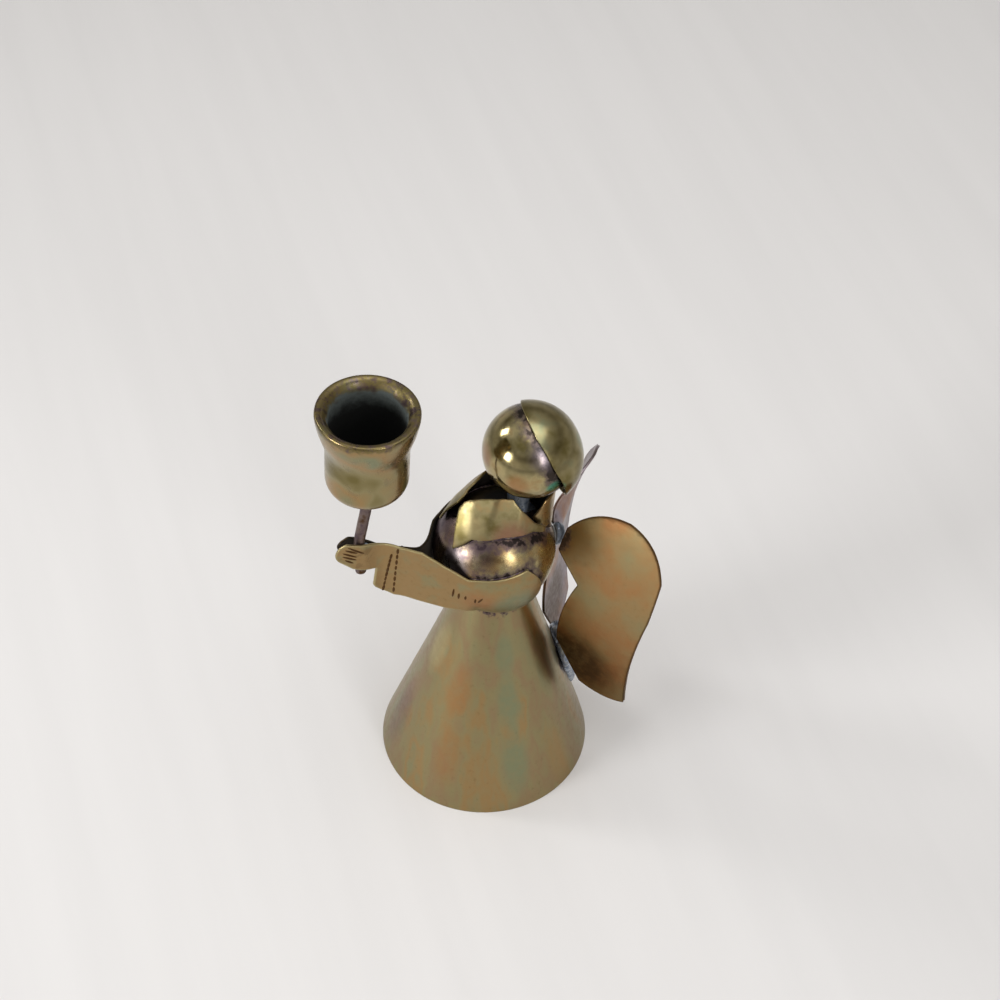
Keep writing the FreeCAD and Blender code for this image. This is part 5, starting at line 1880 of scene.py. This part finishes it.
def stroke_tree():
    """Tree that turns guide lines into tapered strokes, solid or broken into stitches."""
    sockets = (
        ("Radius", "NodeSocketFloat", 0.15 * MM),
        ("Stitches", "NodeSocketInt", 0),
        ("Stitch length", "NodeSocketFloat", 0.6 * MM),
        ("Seed", "NodeSocketInt", 3),
        ("Material", "NodeSocketMaterial", None),
    )
    tree, start = geometry_tree("engraved_strokes", sockets)
    lines = add(tree, "GeometryNodeMeshToCurve", {0: start})
    even = add(tree, "GeometryNodeResampleCurve", {"Curve": lines, "Count": 16})
    along = add(tree, "GeometryNodeSplineParameter")
    angle = add(tree, "ShaderNodeMath", (along, math.pi), operation="MULTIPLY")
    arch = add(tree, "ShaderNodeMath", {0: angle}, operation="SINE")
    taper = add(tree, "ShaderNodeMath", (arch, 0.45), operation="POWER")
    taper = add(tree, "ShaderNodeMath", (taper, 0.08), operation="MAXIMUM")
    random_size = add(
        tree,
        "FunctionNodeRandomValue",
        {2: 0.92, 3: 1.15, "Seed": start.outputs["Seed"]},
        data_type="FLOAT",
    )
    round_line = add(
        tree, "GeometryNodeCurvePrimitiveCircle", {"Resolution": 8, "Radius": start.outputs["Radius"]}
    )
    weight = add(tree, "GeometryNodeSetCurveRadius", {"Curve": even, "Radius": taper})
    solid = add(
        tree,
        "GeometryNodeCurveToMesh",
        {"Curve": weight, "Profile Curve": round_line, "Scale": taper, "Fill Caps": True},
    )
    spots = add(
        tree,
        "GeometryNodeCurveToPoints",
        {"Curve": lines, "Count": start.outputs["Stitches"]},
        mode="COUNT",
    )
    dash = add(tree, "GeometryNodeMeshUVSphere", {"Segments": 8, "Rings": 6, "Radius": 1.0})
    half = add(tree, "ShaderNodeMath", (start.outputs["Stitch length"], 0.5), operation="MULTIPLY")
    radius = start.outputs["Radius"]
    size = add(tree, "ShaderNodeCombineXYZ", (radius, radius, half))
    longer = add(
        tree, "ShaderNodeVectorMath", {0: size, "Scale": random_size.outputs[1]}, operation="SCALE"
    )
    dashes = add(
        tree,
        "GeometryNodeInstanceOnPoints",
        {
            "Points": spots.outputs["Points"],
            "Instance": dash,
            "Rotation": spots.outputs["Rotation"],
            "Scale": longer,
        },
    )
    broken = add(
        tree,
        "FunctionNodeCompare",
        {2: start.outputs["Stitches"], 3: 0},
        data_type="INT",
        operation="GREATER_THAN",
    )
    chosen = add(tree, "GeometryNodeSwitch", (broken, solid, dashes), input_type="GEOMETRY")
    close_tree(tree, chosen, start.outputs["Material"])
    return tree


def guide_lines(name, lines):
    """Object that holds polylines, each a list of points."""
    verts = []
    edges = []
    for line in lines:
        first = len(verts)
        verts += [tuple(point) for point in line]
        edges += [(first + k, first + k + 1) for k in range(len(line) - 1)]
    mesh = bpy.data.meshes.new(name)
    mesh.from_pydata(verts, edges, [])
    return put_in_scene(name, mesh)


def on_sleeve(surface, side, start, finish, sink, parts=10):
    """Line on the outer face of a sleeve between two points of its side view."""
    figure = props("figure")
    line = []
    for number in range(parts + 1):
        spot = start.lerp(finish, number / parts)
        normal = facing(surface, spot, 0.2 * MM) * side
        line.append(surface(spot) + normal * (figure.gauge / 2 - sink))
    return line


def hand_spot(hand, run, climb):
    """Point of an arm's side view from shares of the hand's length and height."""
    figure, arms = props("figure", "arms")
    short, _, sink = HAND_OFFSET_SHARES[hand]
    tip = figure.lean - arms.rod_reach - arms.hand_length * (0.64 - short)
    bottom = ball_level() + arms.hand_lift - arms.hand_height * sink
    return Vector((tip + arms.hand_length * run, bottom + arms.hand_height * climb))


class ANGEL_OT_engraving(bpy.types.Operator):
    """Engrave the fingers, the cuff's stitches and the folds of the elbow"""

    bl_idname = "angel.engraving"
    bl_label = "Engraving"

    def execute(self, context):
        """Build the strokes on both arms."""
        tree = stroke_tree()
        patina = black_patina()
        radius = 0.26 * MM
        for hand, side in (("left", 1), ("right", -1)):
            surface = sleeve_surface(hand)
            outline = arm_outline(hand)
            solid = []
            for start, finish in FINGER_STROKES_SHARES + ELBOW_STROKES_SHARES:
                first = hand_spot(hand, *start)
                last = hand_spot(hand, *finish)
                if inside(first, outline) and inside(last, outline):
                    solid.append(on_sleeve(surface, side, first, last, radius * 0.5))
            values = {"Radius": radius, "Material": patina}
            lines = guide_lines(f"{hand}_strokes", solid)
            grow(f"{hand}_engraved_lines", lines, tree, values)
            stitched = []
            for start, finish in STITCH_LINES_SHARES:
                first = hand_spot(hand, *start)
                last = hand_spot(hand, *finish)
                while not inside(first, outline):
                    first = first.lerp(last, 0.1)
                while not inside(last, outline):
                    last = last.lerp(first, 0.05)
                last = last.lerp(first, 0.07)
                stitched.append(on_sleeve(surface, side, first, last, radius * 0.42))
            values |= {"Stitches": 8, "Stitch length": 1.45 * MM, "Seed": 3}
            lines = guide_lines(f"{hand}_stitches", stitched)
            grow(f"{hand}_cuff_stitches", lines, tree, values)
        return {"FINISHED"}


class ANGEL_OT_seams(bpy.types.Operator):
    """Lay the burnt flux along the cape and the sleeves"""

    bl_idname = "angel.seams"
    bl_label = "Flux seams"

    def execute(self, context):
        """Build the beads along the seams."""
        figure = props("figure")
        centre = Vector((0, figure.lean, ball_level()))
        hug = figure.ball_radius + 0.05 * MM
        tree = stroke_tree()
        flux = flux_crease()
        lines = []
        for hand, side in (("left", 1), ("right", -1)):
            surface = sleeve_surface(hand)
            outline = arm_outline(hand)
            top = [point for point in outline if point.x > -8 * MM and point.y > ball_level()]
            top.sort(key=lambda point: point.x)
            line = []
            for first, last in zip(top, top[1:]):
                for number in range(8):
                    spot = surface(first.lerp(last, number / 8)) - centre
                    if abs(spot.length - hug) < 1.4 * MM:
                        line.append(centre + spot.normalized() * hug)
            lines.append(line)
        values = {"Radius": 0.20 * MM, "Material": flux}
        seams = guide_lines("sleeve_seams", lines)
        grow("sleeve_flux", seams, tree, values)
        lines = []
        for side in (1, -1):
            surface = cape_surface(side)
            lower = [cape_spot(run, climb) for run, climb in LEFT_CAPE_LOWER_SHARES]
            line = []
            for first, last in zip(lower, lower[1:]):
                for number in range(6):
                    spot = surface(first.lerp(last, number / 6)) - centre
                    line.append(centre + spot.normalized() * (hug + 0.1 * MM))
            lines.append(line)
        values = {"Radius": 0.34 * MM, "Material": flux}
        seams = guide_lines("cape_seams", lines)
        grow("cape_flux", seams, tree, values)
        return {"FINISHED"}


def table_top():
    """Pale painted wood: nearly white, with faint long grain and a soft matt sheen."""
    finish = props("finish")
    material, tree, place = new_material("pale_painted_wood")
    grain_space = add(
        tree, "ShaderNodeMapping", {"Vector": place, "Rotation": (0, 0, 1.26), "Scale": (0.08, 1.0, 1.0)}
    )
    grain = add(
        tree,
        "ShaderNodeTexNoise",
        {"Vector": grain_space, "Scale": per_mm(9.0), "Detail": 5.0, "Roughness": 0.5},
    )
    pale = tuple(min(1.0, value * 1.025) for value in finish.floor)
    tint = add(tree, "ShaderNodeValToRGB", {0: grain}, ((0.35, finish.floor), (0.65, pale)))
    sockets = {"Base Color": tint, "Roughness": 0.9, "Specular IOR Level": 0.12}
    return close_material(material, sockets)


class ANGEL_OT_stage(bpy.types.Operator):
    """Set the table top, the soft light and the camera"""

    bl_idname = "angel.stage"
    bl_label = "Stage"

    def execute(self, context):
        """Build the stage."""
        stage = props("stage")
        scene = context.scene
        half = stage.floor_size / 2
        low = -0.02 * MM
        mesh = bpy.data.meshes.new("table_top")
        corners = [(-half, -half, low), (half, -half, low), (half, half, low), (-half, half, low)]
        mesh.from_pydata(corners, [], [(0, 1, 2, 3)])
        mesh.materials.append(table_top())
        put_in_scene("table_top", mesh)
        self.light_world(scene)
        aim = Vector((0, 0, 45 * MM))
        lamps = (
            ("window_front", (0.19, -0.93, 0.29), 0.62, (0.24, 0.18), 0.40),
            ("window_side", (-0.55, -0.65, 0.56), 0.66, (0.12, 0.20), 0.165),
            ("window_right", (0.89, 0.23, 0.42), 0.66, (0.12, 0.34), 0.19),
            ("ceiling", (0.10, 0.15, 1.0), 0.75, (0.60, 0.60), 0.50),
        )
        for name, way, distance, size, power in lamps:
            light = bpy.data.lights.new(name, "AREA")
            light.shape = "RECTANGLE"
            light.size, light.size_y = size
            light.energy = power
            light.spread = math.radians(80)
            lamp = put_in_scene(name, light)
            lamp.location = aim + Vector(way).normalized() * distance
            lamp.rotation_euler = (lamp.location - aim).to_track_quat("Z", "Y").to_euler()
        self.place_camera(scene, stage)
        scene.view_settings.view_transform = "Standard"
        return {"FINISHED"}

    @staticmethod
    def light_world(scene):
        """Soft room light, brighter overhead."""
        world = bpy.data.worlds.new("soft_room")
        scene.world = world
        world.use_nodes = True
        tree = world.node_tree
        tree.nodes.clear()
        way = add(tree, "ShaderNodeTexCoord").outputs["Object"]
        parts = add(tree, "ShaderNodeSeparateXYZ", {0: way})
        stops = (
            (0.0, linear("#d8d5d2")),
            (0.16, linear("#d0ccc7")),
            (0.40, linear("#8b857c")),
            (0.70, linear("#c4c2be")),
            (1.0, linear("#efefef")),
        )
        height = add(tree, "ShaderNodeMapRange", (parts.outputs["Z"], -0.1, 1.0, 0.0, 1.0), **EASED)
        room = add(
            tree,
            "ShaderNodeBackground",
            {"Color": add(tree, "ShaderNodeValToRGB", {0: height}, stops), "Strength": 0.8},
        )
        add(tree, "ShaderNodeOutputWorld", {0: room})

    @staticmethod
    def place_camera(scene, stage):
        """Camera at the photograph's angle, for a square frame."""
        data = bpy.data.cameras.new("photo_camera")
        data.lens = stage.focal
        data.sensor_width = 36.0
        data.clip_start = 0.01
        camera = put_in_scene("photo_camera", data)
        right = Vector((0.309, 0.951, 0.0)).normalized()
        forward = Vector((-0.6364, 0.2068, -0.7431)).normalized()
        upward = right.cross(forward)
        turned = Matrix((right, upward, -forward)).transposed().to_4x4()
        camera.matrix_world = Matrix.Translation(Vector((256.0, -79.9, 364.6)) * MM) @ turned
        scene.camera = camera


GROUPS = (
    ("angel_figure", AngelFigure),
    ("angel_cape", AngelCape),
    ("angel_wings", AngelWings),
    ("angel_arms", AngelArms),
    ("angel_cup", AngelCup),
    ("angel_finish", AngelFinish),
    ("angel_stage", AngelStage),
)

OPERATORS = (
    ANGEL_OT_skirt,
    ANGEL_OT_torso,
    ANGEL_OT_cape,
    ANGEL_OT_collar,
    ANGEL_OT_head,
    ANGEL_OT_hair,
    ANGEL_OT_wings,
    ANGEL_OT_arms,
    ANGEL_OT_cup,
    ANGEL_OT_rod,
    ANGEL_OT_solder,
    ANGEL_OT_engraving,
    ANGEL_OT_seams,
    ANGEL_OT_stage,
)


class ANGEL_PT_sidebar(bpy.types.Panel):
    """Sidebar panel that lists the pieces and their sizes"""

    bl_idname = "ANGEL_PT_sidebar"
    bl_label = "Brass angel"
    bl_space_type = "VIEW_3D"
    bl_region_type = "UI"
    bl_category = "Angel"

    def draw(self, context):
        """List the groups of sizes and the operators."""
        layout = self.layout
        for name, group in GROUPS:
            box = layout.box()
            box.label(text=name.replace("_", " "))
            for key in group.__annotations__:
                box.prop(getattr(context.scene, name), key)
        for operator in OPERATORS:
            layout.operator(operator.bl_idname)


def register():
    """Register the classes and hang the settings on the scene."""
    for name, group in GROUPS:
        bpy.utils.register_class(group)
        setattr(bpy.types.Scene, name, bpy.props.PointerProperty(type=group))
    for operator in OPERATORS:
        bpy.utils.register_class(operator)
    bpy.utils.register_class(ANGEL_PT_sidebar)


def unregister():
    """Take the classes and the settings away again."""
    bpy.utils.unregister_class(ANGEL_PT_sidebar)
    for operator in reversed(OPERATORS):
        bpy.utils.unregister_class(operator)
    for name, group in reversed(GROUPS):
        delattr(bpy.types.Scene, name)
        bpy.utils.unregister_class(group)


def main():
    """Build the whole figure and its stage."""
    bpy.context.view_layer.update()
    register()
    for operator in OPERATORS:
        space, action = operator.bl_idname.split(".")
        getattr(getattr(bpy.ops, space), action)()


if __name__ == "__main__":
    main()
